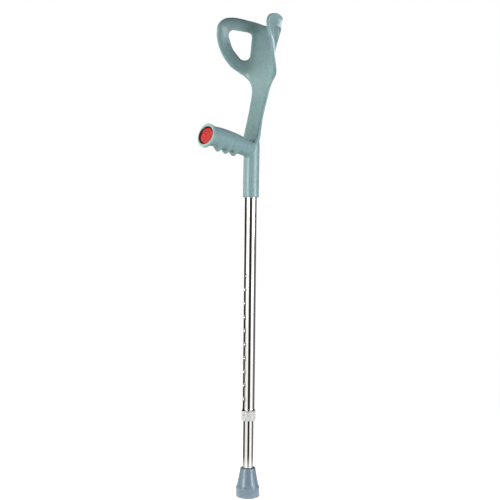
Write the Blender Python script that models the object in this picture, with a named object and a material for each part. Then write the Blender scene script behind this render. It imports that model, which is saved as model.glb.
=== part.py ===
"""Height-adjustable forearm crutch, modelled at its real size in metres.

The origin is the centre of the rubber foot's base, on the axis of the tubes. +Z is up and the hand
grip points along -X, so the crutch is symmetric about the plane Y = 0. It stands at its shortest
setting. Forward distances are called u, with u = -x, and lateral distances are called v, with v = y.
"""

import math

import bmesh
import bpy
import numpy as np
from mathutils import Matrix, Vector
from mathutils.geometry import delaunay_2d_cdt

MM = 0.001

# Gap kept between faces that touch on the real object
TOUCH = 0.3 * MM

# Tubes: the lower one slides in the upper one
UPPER_OD = 22.0 * MM
TUBE_WALL = 1.2 * MM
UPPER_LENGTH = 503.0 * MM
LOWER_LENGTH = 436.5 * MM

# Row of adjustment holes in the upper tube and the snap button in the lower one
HOLE_PITCH = 25.4 * MM
HOLE_COUNT = 10
HOLE_DIAMETER = 8.0 * MM
LOWEST_HOLE_HEIGHT = 36.1 * MM
BUTTON_BELOW_TOP = 34.6 * MM
BUTTON_STANDS_OUT = 1.6 * MM
BUTTON_DOME = 1.3 * MM

# Leaf spring behind the button
LEAF_WIDTH = 7.0 * MM
LEAF_THICKNESS = 0.5 * MM
LEAF_LENGTH = 46.0 * MM
LEAF_ABOVE_BUTTON = 8.0 * MM
LEAF_NOSE = 1.6 * MM

# Widened end of the upper tube, its bush and its collar
THREAD_LENGTH = 13.8 * MM
FLARE_HEIGHT = 4.2 * MM
FLARE_LIP_WIDTH = 0.55 * MM
FLARE_LIP_HEIGHT = 0.6 * MM
BUSH_WALL = 0.8 * MM
BUSH_SPLIT = 1.6 * MM
COLLAR_WALL = 1.4 * MM
COLLAR_LIP = 5.0 * MM
COLLAR_LIP_ROUND = 3.0 * MM
COLLAR_EDGE = 0.5 * MM
COLLAR_RIBS = 24
COLLAR_RIB_DEPTH = 0.45 * MM

# Rubber foot and the steel disc inside it
FOOT_HEIGHT = 54.2 * MM
FOOT_DIAMETER = 43.8 * MM
FOOT_RIM_WALL = 4.5 * MM
FOOT_RIM_WIDTH = 1.4 * MM
FOOT_MOUTH_DEPTH = 3.0 * MM
FOOT_SHOULDER_Z = 20.4 * MM
FOOT_SHOULDER_DIAMETER = 41.2 * MM
FOOT_SHOULDER_ROUND = 1.6 * MM
FOOT_SAG = 0.4 * MM
FOOT_FLOOR = 9.4 * MM
FOOT_EDGE_ROUND = 2.0 * MM
TREAD_DEPTH = 1.2 * MM
TREAD_WIDTH = 1.8 * MM
TREAD_DRAFT = 0.3 * MM
TREAD_DIAMETERS = (22.0 * MM, 31.0 * MM)
WASHER_THICKNESS = 1.5 * MM
WASHER_HOLE = 5.0 * MM

# Socket of the handle. Heights in the handle are measured from the top of the upper tube.
SOCKET_DEPTH = 94.5 * MM
SOCKET_WALL = 3.35 * MM
SOCKET_CROWN = 2.0 * MM
SOCKET_LEAN = 1.1 * MM
SOCKET_EDGE = 0.6 * MM
FRONT_SHOULDER = 9.0 * MM
BACK_SHOULDER = 24.0 * MM
SHOULDER_STEP = 7.0 * MM
SPINE_TOP = 135.0 * MM
SPINE_FADE = 70.0 * MM
SPINE_HEIGHT = 3.2 * MM
SPINE_WIDTH = 15.0 * MM
SPINE_STEPS = 7
SPINE_COVER = 1.5 * MM
SCREW_ABOVE_SOCKET_END = 34.5 * MM
SCREW_DIAMETER = 3.6 * MM
SCREW_HEAD_DIAMETER = 7.0 * MM
SCREW_HEAD_HEIGHT = 1.7 * MM
SCREW_HEAD_DOME = 0.7 * MM
SCREW_SUNK = 0.5 * MM
SCREW_IN_BORE = 1.5 * MM

# Hand grip: lengths along it start at the tube's axis
GRIP_LENGTH = 113.5 * MM
GRIP_END_HEIGHT = 14.8 * MM
GRIP_ROOT_HEIGHT = -8.4 * MM
GRIP_ROOT_START = 2.0 * MM
GRIP_ROOT_NARROWER = 2.2 * MM
GRIP_ROOT_LENGTH = 22.0 * MM
GRIP_ARCH = 2.4 * MM
GRIP_WIDTH = 31.0 * MM
GRIP_HEIGHT = 31.0 * MM
GRIP_CROWN = 3.6 * MM
GRIP_CROWN_BELOW = 0.4 * MM
GRIP_BELLY = 0.8 * MM
GRIP_TILT = math.radians(18.0)
GRIP_TILT_STARTS = 0.25
GRIP_END_STARTS = 0.84
GRIP_END_GROWTH = 1.6 * MM
GRIP_RISE_STARTS = 0.45
GRIP_END_RISE = 3.4 * MM
FINGER_PITCH = 19.6 * MM
FINGER_START = 38.3 * MM
FINGER_COUNT = 3
FINGER_DEPTH = 7.6 * MM
FINGER_SHARPNESS = 1.8
GRIP_BORE = 23.0 * MM
GRIP_BORE_INNER = 19.0 * MM
GRIP_BORE_START = 30.0 * MM

# Cap and reflector in the end of the grip
CAP_HEIGHT = 43.6 * MM
CAP_WIDTH = 37.2 * MM
CAP_THICKNESS = 5.6 * MM
CAP_EDGE = 0.7 * MM
CAP_RECESS_EDGE = 0.3 * MM
CAP_SPIGOT_LENGTH = 10.0 * MM
CAP_SPIGOT_WALL = 1.6 * MM
CAP_SPIGOT_LEAD = 0.3 * MM
REFLECTOR_DIAMETER = 32.6 * MM
REFLECTOR_SUNK = 2.4 * MM
LENS_THICKNESS = 1.0 * MM
LENS_CROWN = 0.3 * MM
LENS_RIM_WIDTH = 0.8 * MM
LENS_RIM_BELOW = 0.5 * MM
BACK_THICKNESS = 0.6 * MM

# Stem and cuff: one curved sheet. Each station gives a height, where the middle of the front face
# lies forward of the tube's axis, and the angle at which the wings turn forward. Lengths in this
# table and in the two outlines below are counts of one unit.
SHEET_UNIT = 1.0 * MM
SHEET_STATIONS = (
    (-4.0, 6.0, 0.0),
    (14.0, 4.4, 0.0),
    (27.0, 0.6, 0.0),
    (49.0, -5.8, 0.0),
    (70.0, -12.0, 0.0),
    (90.0, -17.4, 0.0),
    (109.0, -20.0, 5.0),
    (123.0, -21.2, 25.0),
    (135.0, -23.0, 44.0),
    (150.0, -25.8, 52.5),
    (183.0, -32.3, 59.5),
    (207.0, -36.6, 66.0),
    (240.0, -41.8, 70.5),
)
BEND_MIDDLE = 27.0 * MM
BEND_AT_STEM = 30.0 * MM
BEND_AT_TOP = 42.0 * MM
BEND_WIDENS = (105.0 * MM, 170.0 * MM)
CUFF_WALL = 4.4 * MM
EDGE_FLARE = 2.2 * MM
EDGE_FLARE_WIDTH = 8.5 * MM
EDGE_FLARE_GROWS = (76.0 * MM, 112.0 * MM)
TOP_FLARE = 5.2 * MM
TOP_FLARE_GROWS = (168.0 * MM, 217.0 * MM)
TOP_FLARE_ENDS = (55.0 * MM, 95.0 * MM)
STEM_HOLLOW = 0.8 * MM
STEM_HOLLOW_WIDTH = 12.0 * MM
STEM_TOP = 112.0 * MM
STEM_FADE = 30.0 * MM
STEM_WALL = 6.4 * MM
EDGE_SHARE = 0.45

# Thickness of the sheet by height
SHEET_THICKNESS = (
    (-4.0 * MM, 11.5 * MM),
    (14.0 * MM, 10.8 * MM),
    (27.0 * MM, 8.6 * MM),
    (49.0 * MM, STEM_WALL),
    (STEM_TOP, STEM_WALL),
    (135.0 * MM, 5.4 * MM),
    (160.0 * MM, CUFF_WALL),
)

# Right half of the sheet's outline, from the middle of its foot to the middle of its top edge:
# distance along the sheet from its middle line, and height
SHEET_OUTLINE = (
    (0.0, -4.0),
    (9.0, -3.6),
    (13.8, 0.5),
    (17.0, 8.0),
    (19.0, 18.0),
    (18.6, 30.0),
    (17.9, 50.0),
    (18.3, 72.0),
    (19.4, 90.0),
    (21.6, 106.0),
    (29.8, 121.0),
    (46.0, 133.5),
    (63.9, 147.0),
    (81.6, 168.5),
    (94.9, 194.0),
    (98.3, 208.0),
    (97.6, 221.0),
    (88.0, 231.0),
    (73.0, 234.8),
    (54.0, 235.0),
    (29.0, 230.6),
    (12.0, 223.4),
    (0.0, 221.8),
)

# Corners of the window in each wing, in the same measures, with the radius of each corner
WINDOW_CORNERS = (
    (79.4, 213.2, 9.0),
    (30.6, 209.5, 9.0),
    (28.8, 156.8, 8.0),
    (43.8, 158.6, 12.0),
    (62.8, 178.2, 40.0),
)

# Fineness of the meshes
ROUND_STEPS = 40
PIN_STEPS = 20
HOLE_STEPS = 16
OUTLINE_STEP = 5.5 * MM
WINDOW_STEP = 3.8 * MM
EDGE_BANDS = (0.0, 1.6 * MM, 4.2 * MM)
SHEET_STEP = 6.0 * MM
GRID_CLEARANCE = 0.55
GRIP_STEPS = 24
GRIP_STEPS_PER_FINGER = 8
HOLLOW_STEPS = 24

# Sizes that follow from the ones above
UPPER_BORE = UPPER_OD - 2.0 * TUBE_WALL
LOWER_OD = UPPER_BORE - 2.0 * TOUCH
LOWER_BORE = LOWER_OD - 2.0 * TUBE_WALL
BUTTON_DIAMETER = HOLE_DIAMETER - 2.0 * TOUCH
BUSH_BORE = LOWER_OD + 2.0 * TOUCH
BUSH_OD = BUSH_BORE + 2.0 * BUSH_WALL
THREAD_BORE = BUSH_OD + 2.0 * TOUCH
THREAD_DIAMETER = THREAD_BORE + 2.0 * TUBE_WALL
BUSH_LENGTH = THREAD_LENGTH - 2.0 * TOUCH
COLLAR_DIAMETER = THREAD_DIAMETER + 2.0 * COLLAR_WALL
FOOT_RIM_DIAMETER = LOWER_OD + 2.0 * FOOT_RIM_WALL
SOCKET_BORE = UPPER_OD + 2.0 * TOUCH
SOCKET_DIAMETER = SOCKET_BORE + 2.0 * SOCKET_WALL
SCREW_WALL_X = SOCKET_DIAMETER / 2.0 + SOCKET_LEAN * SCREW_ABOVE_SOCKET_END / SOCKET_DEPTH
WASHER_BOTTOM_Z = FOOT_FLOOR + TOUCH
LOWER_BOTTOM_Z = WASHER_BOTTOM_Z + WASHER_THICKNESS + TOUCH
LOWER_TOP_Z = LOWER_BOTTOM_Z + LOWER_LENGTH
BUTTON_Z = LOWER_TOP_Z - BUTTON_BELOW_TOP
UPPER_BOTTOM_Z = BUTTON_Z - (HOLE_COUNT - 1) * HOLE_PITCH - LOWEST_HOLE_HEIGHT
UPPER_TOP_Z = UPPER_BOTTOM_Z + UPPER_LENGTH
FLARE_LIP_Z = UPPER_BOTTOM_Z + THREAD_LENGTH
COLLAR_SHELF_Z = UPPER_BOTTOM_Z - TOUCH
COLLAR_BOTTOM_Z = COLLAR_SHELF_Z - COLLAR_LIP
HANDLE_ORIGIN = (0.0, 0.0, UPPER_TOP_Z)
SCREW_ORIGIN = (0.0, 0.0, UPPER_TOP_Z - SOCKET_DEPTH + SCREW_ABOVE_SOCKET_END)
FRONT = (-1.0, 0.0, 0.0)
REAR = (1.0, 0.0, 0.0)
FORWARD = Vector((-math.cos(GRIP_TILT), 0.0, math.sin(GRIP_TILT)))
GRIP_END = Vector((-GRIP_LENGTH, 0.0, GRIP_END_HEIGHT))
CAP_ORIGIN = Vector(HANDLE_ORIGIN) + GRIP_END
CAP_FRONT = TOUCH + CAP_THICKNESS
LENS_FRONT = CAP_FRONT - REFLECTOR_SUNK
LENS_BACK = LENS_FRONT - LENS_CROWN - LENS_THICKNESS
PLATE_FRONT = LENS_BACK - TOUCH
PLATE_BACK = PLATE_FRONT - BACK_THICKNESS
RECESS_FLOOR = PLATE_BACK - TOUCH


def clear_scene():
    for obj in list(bpy.data.objects):
        bpy.data.objects.remove(obj, do_unlink=True)


def linear(red, green, blue):
    """A colour given in display values from 0 to 255, in linear light."""

    def channel(value):
        value /= 255.0
        return value / 12.92 if value <= 0.04045 else ((value + 0.055) / 1.055) ** 2.4

    return channel(red), channel(green), channel(blue), 1.0


def material(name, colour, roughness, metallic=0.0):
    mat = bpy.data.materials.new(name)
    mat.use_nodes = True
    shader = mat.node_tree.nodes["Principled BSDF"]
    shader.inputs["Base Color"].default_value = linear(*colour)
    shader.inputs["Roughness"].default_value = roughness
    shader.inputs["Metallic"].default_value = metallic
    mat.diffuse_color = linear(*colour)
    return mat


def add_object(name, bm, mat, location=(0.0, 0.0, 0.0), smooth_angle=35.0):
    bmesh.ops.recalc_face_normals(bm, faces=bm.faces)
    mesh = bpy.data.meshes.new(name)
    bm.to_mesh(mesh)
    bm.free()
    mesh.shade_smooth()
    mesh.set_sharp_from_angle(angle=math.radians(smooth_angle))
    obj = bpy.data.objects.new(name, mesh)
    obj.location = location
    if mat:
        mesh.materials.append(mat)
    bpy.context.scene.collection.objects.link(obj)
    return obj


def add_cutter(name, bm, location=(0.0, 0.0, 0.0)):
    cutter = add_object(name, bm, None, location)
    cutter.hide_render = True
    cutter.display_type = "WIRE"
    return cutter


def combine(target, other, operation):
    modifier = target.modifiers.new(other.name, "BOOLEAN")
    modifier.operation = operation
    modifier.solver = "EXACT"
    modifier.object = other


def bridge(bm, first, second):
    """Quads between two closed loops with as many vertices."""
    count = len(first)
    for i in range(count):
        j = (i + 1) % count
        bm.faces.new((first[i], first[j], second[j], second[i]))


def loft(loops, closed=False):
    """A body through loops of points: capped at both ends, or closed on itself."""
    bm = bmesh.new()
    rows = [[bm.verts.new(point) for point in loop] for loop in loops]
    for first, second in zip(rows, rows[1:]):
        bridge(bm, first, second)
    if closed:
        bridge(bm, rows[-1], rows[0])
    else:
        bm.faces.new(rows[0])
        bm.faces.new(rows[-1])
    return bm


def ring(radius, z, steps=ROUND_STEPS):
    angles = [2.0 * math.pi * i / steps for i in range(steps)]
    return [(radius * math.cos(a), radius * math.sin(a), z) for a in angles]


def turned_ring(profile, steps=ROUND_STEPS):
    """A ring turned about Z from a closed profile of (radius, z) points clear of the axis."""
    return loft([ring(radius, z, steps) for radius, z in profile], closed=True)


def turned_solid(profile, steps=ROUND_STEPS):
    """A solid turned about Z from a profile that starts and ends on flat round faces."""
    return loft([ring(radius, z, steps) for radius, z in profile])


def arc(centre, radius, start, end, steps):
    """Points on an arc in the plane of a profile, angles in degrees."""
    angles = np.radians(np.linspace(start, end, steps + 1))
    return [(centre[0] + radius * math.cos(a), centre[1] + radius * math.sin(a)) for a in angles]


def turn(bm, matrix):
    bmesh.ops.transform(bm, matrix=matrix, verts=bm.verts)
    return bm


def point_to(bm, direction):
    """Turns a piece made about Z so that its top looks in a direction."""
    lean = Vector((0.0, 0.0, 1.0)).rotation_difference(Vector(direction))
    return turn(bm, lean.to_matrix().to_4x4())


def hole_through(direction, diameter, tube_od, z):
    """A pin through one wall of a tube on the Z axis, at a height."""
    bm = turned_solid([(diameter / 2.0, tube_od / 4.0), (diameter / 2.0, tube_od / 2.0 + MM)], HOLE_STEPS)
    point_to(bm, direction)
    return turn(bm, Matrix.Translation((0.0, 0.0, z)))


def join_into(target, other):
    """Moves the faces of one bmesh into another."""
    copies = {vert: target.verts.new(vert.co) for vert in other.verts}
    for face in other.faces:
        target.faces.new([copies[vert] for vert in face.verts])
    other.free()


def make_upper_tube(mat):
    outer, inner = UPPER_OD / 2.0, UPPER_BORE / 2.0
    thread, wide = THREAD_DIAMETER / 2.0, THREAD_BORE / 2.0
    lip = thread + FLARE_LIP_WIDTH
    flare_top = FLARE_LIP_Z + FLARE_HEIGHT
    profile = [
        (outer, UPPER_TOP_Z),
        (outer, flare_top),
        (lip, FLARE_LIP_Z + FLARE_LIP_HEIGHT),
        (lip, FLARE_LIP_Z),
        (thread, FLARE_LIP_Z),
        (thread, UPPER_BOTTOM_Z),
        (wide, UPPER_BOTTOM_Z),
        (wide, FLARE_LIP_Z),
        (inner, flare_top),
        (inner, UPPER_TOP_Z),
    ]
    tube = add_object("upper_tube", turned_ring(profile), mat)
    holes = bmesh.new()
    for i in range(HOLE_COUNT):
        z = BUTTON_Z - i * HOLE_PITCH
        join_into(holes, hole_through(FRONT, HOLE_DIAMETER, UPPER_OD, z))
    combine(tube, add_cutter("adjustment_holes", holes), "DIFFERENCE")
    screw_hole = hole_through(REAR, SCREW_DIAMETER + 2.0 * TOUCH, UPPER_OD, SCREW_ORIGIN[2])
    combine(tube, add_cutter("screw_hole_in_tube", screw_hole), "DIFFERENCE")
    return tube


def make_guide_bush(mat):
    """The split bush in the widened end of the upper tube."""
    inner, outer = BUSH_BORE / 2.0, BUSH_OD / 2.0
    profile = [(outer, BUSH_LENGTH), (outer, 0.0), (inner, 0.0), (inner, BUSH_LENGTH)]
    bush = add_object("guide_bush", turned_ring(profile), mat, (0.0, 0.0, UPPER_BOTTOM_Z))
    slit = bmesh.new()
    bmesh.ops.create_cube(slit, size=1.0)
    turn(slit, Matrix.Diagonal((outer, BUSH_SPLIT, 2.0 * BUSH_LENGTH, 1.0)))
    turn(slit, Matrix.Translation((outer, 0.0, BUSH_LENGTH / 2.0)))
    combine(bush, add_cutter("bush_slit", slit, (0.0, 0.0, UPPER_BOTTOM_Z)), "DIFFERENCE")
    return bush


def collar_loop(radius, z, depth):
    """One loop round the collar, with furrows of the given depth between its ribs."""
    steps = 2 * COLLAR_RIBS
    points = []
    for i in range(steps):
        angle = 2.0 * math.pi * i / steps
        r = radius - depth * (i % 2)
        points.append((r * math.cos(angle), r * math.sin(angle), z))
    return points


def make_collar(mat):
    """The ribbed nut that draws the bush tight round the lower tube. Its origin is on its base."""
    shelf = COLLAR_LIP
    top = COLLAR_LIP + THREAD_LENGTH
    outer = COLLAR_DIAMETER / 2.0
    thread = THREAD_DIAMETER / 2.0 + TOUCH
    bore = LOWER_OD / 2.0 + TOUCH
    profile = [
        (outer - COLLAR_EDGE, top, 0.0),
        (outer, top - COLLAR_EDGE, COLLAR_RIB_DEPTH),
        (outer, COLLAR_LIP_ROUND, COLLAR_RIB_DEPTH),
    ]
    round_centre = (outer - COLLAR_LIP_ROUND, COLLAR_LIP_ROUND)
    profile += [(r, z, 0.0) for r, z in arc(round_centre, COLLAR_LIP_ROUND, -25.0, -90.0, 3)]
    profile += [(bore, 0.0, 0.0), (bore, shelf, 0.0), (thread, shelf, 0.0), (thread, top, 0.0)]
    loops = [collar_loop(r, z, depth) for r, z, depth in profile]
    return add_object("collar_nut", loft(loops, closed=True), mat, (0.0, 0.0, COLLAR_BOTTOM_Z))


def make_lower_tube(mat, parent):
    outer, inner = LOWER_OD / 2.0, LOWER_BORE / 2.0
    profile = [
        (outer, LOWER_TOP_Z),
        (outer, LOWER_BOTTOM_Z),
        (inner, LOWER_BOTTOM_Z),
        (inner, LOWER_TOP_Z),
    ]
    tube = add_object("lower_tube", turned_ring(profile), mat)
    hole = hole_through(FRONT, HOLE_DIAMETER, LOWER_OD, BUTTON_Z)
    combine(tube, add_cutter("button_hole", hole), "DIFFERENCE")
    tube.parent = parent
    return tube


def leaf_reach():
    """How far from the axis the leaf's flat faces can lie before its edges meet the tube."""
    return math.sqrt((LOWER_BORE / 2.0 - TOUCH) ** 2 - (LEAF_WIDTH / 2.0) ** 2)


def make_button(mat, parent):
    """The button's own frame is on its axis, which runs along X."""
    tip = UPPER_OD / 2.0 + BUTTON_STANDS_OUT
    radius = BUTTON_DIAMETER / 2.0
    profile = [(radius, leaf_reach() + TOUCH), (radius, tip - BUTTON_DOME)]
    for degrees in (30.0, 60.0, 80.0):
        angle = math.radians(degrees)
        profile.append((radius * math.cos(angle), tip - BUTTON_DOME * (1.0 - math.sin(angle))))
    bm = point_to(turned_solid(profile, PIN_STEPS), FRONT)
    button = add_object("snap_button", bm, mat, (0.0, 0.0, BUTTON_Z))
    button.parent = parent
    return button


def make_button_spring(mat, parent):
    """A leaf bent into a V: one leg carries the button, the other bears on the tube's far wall."""
    reach = leaf_reach()
    top = BUTTON_Z + LEAF_ABOVE_BUTTON
    bottom = BUTTON_Z - LEAF_LENGTH
    pad = BUTTON_Z - LEAF_ABOVE_BUTTON
    bend = arc((0.0, bottom + LEAF_NOSE), LEAF_NOSE, 180.0, 360.0, 6)
    front = [(-reach, top), (-reach, pad)] + bend + [(reach - LEAF_THICKNESS, top)]
    back = []
    for i, point in enumerate(front):
        before = Vector(front[max(i - 1, 0)])
        after = Vector(front[min(i + 1, len(front) - 1)])
        along = (after - before).normalized()
        back.append((point[0] - along.y * LEAF_THICKNESS, point[1] + along.x * LEAF_THICKNESS))
    strip = front + back[::-1]
    half = LEAF_WIDTH / 2.0
    bm = loft([[(x, side, z) for x, z in strip] for side in (-half, half)])
    spring = add_object("button_spring", bm, mat)
    spring.parent = parent
    return spring


def foot_outside():
    """Profile of the foot's outside, from its rim down to the middle of its tread."""
    outer, shoulder, rim = FOOT_DIAMETER / 2.0, FOOT_SHOULDER_DIAMETER / 2.0, FOOT_RIM_DIAMETER / 2.0
    profile = []
    flare_steps = 4
    for i in range(flare_steps + 1):
        share = i / flare_steps
        radius = rim + (shoulder - rim) * share - FOOT_SAG * math.sin(math.pi * share)
        profile.append((radius, FOOT_HEIGHT + (FOOT_SHOULDER_Z - FOOT_HEIGHT) * share))
    profile.append((outer, FOOT_SHOULDER_Z - FOOT_SHOULDER_ROUND))
    profile += arc((outer - FOOT_EDGE_ROUND, FOOT_EDGE_ROUND), FOOT_EDGE_ROUND, 0.0, -90.0, 4)
    for diameter in sorted(TREAD_DIAMETERS, reverse=True):
        high, low = (diameter + TREAD_WIDTH) / 2.0, (diameter - TREAD_WIDTH) / 2.0
        profile.append((high, 0.0))
        profile.append((high - TREAD_DRAFT, TREAD_DEPTH))
        profile.append((low + TREAD_DRAFT, TREAD_DEPTH))
        profile.append((low, 0.0))
    return profile


def make_foot(mat, parent):
    """The rubber foot: a flared sleeve over the lower tube with a ringed tread."""
    bore = LOWER_OD / 2.0 + TOUCH
    mouth = [
        (bore, FOOT_FLOOR),
        (bore, FOOT_HEIGHT - FOOT_MOUTH_DEPTH),
        (FOOT_RIM_DIAMETER / 2.0 - FOOT_RIM_WIDTH, FOOT_HEIGHT),
    ]
    foot = add_object("ferrule", turned_solid(mouth + foot_outside()), mat)
    foot.parent = parent
    return foot


def make_foot_washer(mat, parent):
    """The steel disc that keeps the tube from cutting through the foot."""
    outer, hole = LOWER_OD / 2.0, WASHER_HOLE / 2.0
    profile = [(outer, WASHER_THICKNESS), (outer, 0.0), (hole, 0.0), (hole, WASHER_THICKNESS)]
    washer = add_object("ferrule_washer", turned_ring(profile), mat, (0.0, 0.0, WASHER_BOTTOM_Z))
    washer.parent = parent
    return washer


def catmull_rom(points, per_span):
    """A smooth curve through points, parameterised by the square root of their distances."""
    points = [np.array(p, float) for p in points]
    points = [2 * points[0] - points[1]] + points + [2 * points[-1] - points[-2]]
    out = []
    for k in range(1, len(points) - 2):
        p0, p1, p2, p3 = points[k - 1 : k + 3]
        t0 = 0.0
        t1 = t0 + math.sqrt(np.linalg.norm(p1 - p0))
        t2 = t1 + math.sqrt(np.linalg.norm(p2 - p1))
        t3 = t2 + math.sqrt(np.linalg.norm(p3 - p2))
        for t in np.linspace(t1, t2, per_span, endpoint=False):
            a1 = ((t1 - t) * p0 + (t - t0) * p1) / (t1 - t0)
            a2 = ((t2 - t) * p1 + (t - t1) * p2) / (t2 - t1)
            a3 = ((t3 - t) * p2 + (t - t2) * p3) / (t3 - t2)
            b1 = ((t2 - t) * a1 + (t - t0) * a2) / (t2 - t0)
            b2 = ((t3 - t) * a2 + (t - t1) * a3) / (t3 - t1)
            out.append(((t2 - t) * b1 + (t - t1) * b2) / (t2 - t1))
    out.append(points[-2])
    return np.array(out)


def even_steps(curve, step, closed=False):
    """Resamples a curve at even distances of about one step."""
    if closed:
        curve = np.vstack([curve, curve[:1]])
    lengths = np.concatenate([[0.0], np.cumsum(np.linalg.norm(np.diff(curve, axis=0), axis=1))])
    count = max(int(round(lengths[-1] / step)), 8)
    at = np.linspace(0.0, lengths[-1], count + 1)
    out = np.column_stack([np.interp(at, lengths, curve[:, i]) for i in range(2)])
    return out[:-1] if closed else out


def rounded_polygon(corners, steps=6):
    """A closed outline whose corners (x, y, radius) are rounded with arcs."""
    out = []
    count = len(corners)
    for i, (x, y, radius) in enumerate(corners):
        here = Vector((x, y))
        back = (Vector(corners[i - 1][:2]) - here).normalized()
        on = (Vector(corners[(i + 1) % count][:2]) - here).normalized()
        half = back.angle(on) / 2.0
        centre = here + (back + on).normalized() * radius / math.sin(half)
        start = here + back * radius / math.tan(half) - centre
        end = here + on * radius / math.tan(half) - centre
        sweep = start.angle_signed(end)
        for k in range(steps + 1):
            spoke = start.copy()
            spoke.rotate(Matrix.Rotation(-sweep * k / steps, 2))
            out.append(centre + spoke)
    return np.array([tuple(p) for p in out])


def smooth_step(value, low, high):
    share = np.clip((value - low) / (high - low), 0.0, 1.0)
    return share * share * (3.0 - 2.0 * share)


def station_curve(column):
    """A smooth function of height through one column of the stations."""
    stations = np.array(SHEET_STATIONS)
    heights, values = stations[:, 0] * SHEET_UNIT, stations[:, column]
    slopes = np.gradient(values, heights)

    def at(z):
        k = int(np.clip(np.searchsorted(heights, z) - 1, 0, len(heights) - 2))
        span = heights[k + 1] - heights[k]
        t = (z - heights[k]) / span
        h00 = 2 * t**3 - 3 * t**2 + 1
        h10 = t**3 - 2 * t**2 + t
        h01 = -2 * t**3 + 3 * t**2
        h11 = t**3 - t**2
        return h00 * values[k] + h10 * span * slopes[k] + h01 * values[k + 1] + h11 * span * slopes[k + 1]

    return at


MIDDLE_UNITS = station_curve(1)
WING_DEGREES = station_curve(2)


def middle_u(z):
    """How far forward of the tube's axis the middle of the sheet's front face lies."""
    return MIDDLE_UNITS(z) * SHEET_UNIT


def sheet_thickness(z):
    return float(np.interp(z, [s[0] for s in SHEET_THICKNESS], [s[1] for s in SHEET_THICKNESS]))


def integral(values, steps):
    return float(((values[1:] + values[:-1]) / 2.0 * np.diff(steps)).sum())


def sheet_point(p, z):
    """The front face of the sheet at a distance p along it from its middle line, at height z."""
    half_bend = (BEND_AT_STEM + (BEND_AT_TOP - BEND_AT_STEM) * smooth_step(z, *BEND_WIDENS)) / 2.0
    steps = np.linspace(0.0, abs(p), 25)
    bent = smooth_step(steps, BEND_MIDDLE - half_bend, BEND_MIDDLE + half_bend)
    angles = math.radians(max(WING_DEGREES(z), 0.0)) * bent
    v = integral(np.cos(angles), steps)
    u = middle_u(z) + integral(np.sin(angles), steps)
    return np.array((-u, math.copysign(v, p), z))


def sheet_normal(p, z):
    """The direction that the front face looks in."""
    small = 0.5 * MM
    across = sheet_point(p + small, z) - sheet_point(p - small, z)
    up = sheet_point(p, z + small) - sheet_point(p, z - small)
    normal = np.cross(up, across)
    return normal / np.linalg.norm(normal)


def distance_to_loops(points, loops):
    """The distance from each point to the nearest of several closed outlines."""
    best = np.full(len(points), np.inf)
    for loop in loops:
        start, end = loop, np.roll(loop, -1, axis=0)
        along = end - start
        length = (along**2).sum(1)
        for i, point in enumerate(points):
            t = np.clip(((point - start) * along).sum(1) / length, 0.0, 1.0)
            gap = point - start - t[:, None] * along
            best[i] = min(best[i], math.sqrt((gap**2).sum(1).min()))
    return best


def inside(point, loop):
    """Whether a point lies within a closed outline."""
    x, y = point
    x0, y0 = loop[:, 0], loop[:, 1]
    x1, y1 = np.roll(x0, -1), np.roll(y0, -1)
    crosses = (y0 > y) != (y1 > y)
    with np.errstate(divide="ignore", invalid="ignore"):
        at = x0 + (y - y0) / (y1 - y0) * (x1 - x0)
    return bool(np.count_nonzero(crosses & (x < at)) % 2)


def inset(loop, depth):
    """The outline moved inwards, for one that runs anticlockwise."""
    along = np.roll(loop, -1, axis=0) - np.roll(loop, 1, axis=0)
    along /= np.linalg.norm(along, axis=1)[:, None]
    return loop + depth * np.column_stack([-along[:, 1], along[:, 0]])


def anticlockwise(loop):
    x, y = loop[:, 0], loop[:, 1]
    area = (x * np.roll(y, -1) - np.roll(x, -1) * y).sum()
    return loop if area > 0.0 else loop[::-1]


def sheet_outline(step):
    half = even_steps(catmull_rom(SHEET_OUTLINE, 12) * SHEET_UNIT, step)
    mirrored = half[1:-1][::-1] * np.array((-1.0, 1.0))
    return anticlockwise(np.vstack([half, mirrored]))


def sheet_windows(step):
    right = rounded_polygon(WINDOW_CORNERS, 12) * SHEET_UNIT
    right = anticlockwise(even_steps(right, step, closed=True))
    return [right, anticlockwise(right * np.array((-1.0, 1.0)))]


def edge_round(distance, thickness):
    """How much of its half thickness the sheet has at a distance from its edge."""
    radius = thickness / 2.0
    share = min(distance / radius, 1.0)
    return max(math.sqrt(1.0 - (1.0 - share) ** 2), EDGE_SHARE)


def sheet_faces(p, z, distance, rim_distance):
    """Points on both faces of the sheet, at distances from its nearest edge and from its outer rim."""
    thickness = sheet_thickness(z)
    normal = sheet_normal(p, z)
    cuff = smooth_step(z, STEM_TOP, STEM_TOP + STEM_FADE)
    near_rim = max(1.0 - rim_distance / EDGE_FLARE_WIDTH, 0.0) ** 2
    flare = EDGE_FLARE * smooth_step(z, *EDGE_FLARE_GROWS) * near_rim
    flare += TOP_FLARE * smooth_step(z, *TOP_FLARE_GROWS) * (1.0 - smooth_step(abs(p), *TOP_FLARE_ENDS))
    hollow = STEM_HOLLOW * (1.0 - cuff) * smooth_step(distance, 0.0, STEM_HOLLOW_WIDTH)
    middle = sheet_point(p, z) - normal * (thickness / 2.0 + flare)
    half = thickness / 2.0 * edge_round(distance, thickness)
    return middle + normal * (half - hollow), middle - normal * half


def hexagon_grid(low, high, step):
    """Points of a triangular grid over a rectangle."""
    row_step = step * math.sqrt(0.75)
    columns = int((high[0] - low[0]) / step / 2.0) + 1
    rows = int((high[1] - low[1]) / row_step) + 1
    grid = []
    for row in range(rows):
        for column in range(-columns, columns + 1):
            grid.append(((column + 0.5 * (row % 2)) * step, low[1] + row * row_step))
    return np.array(grid)


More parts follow.
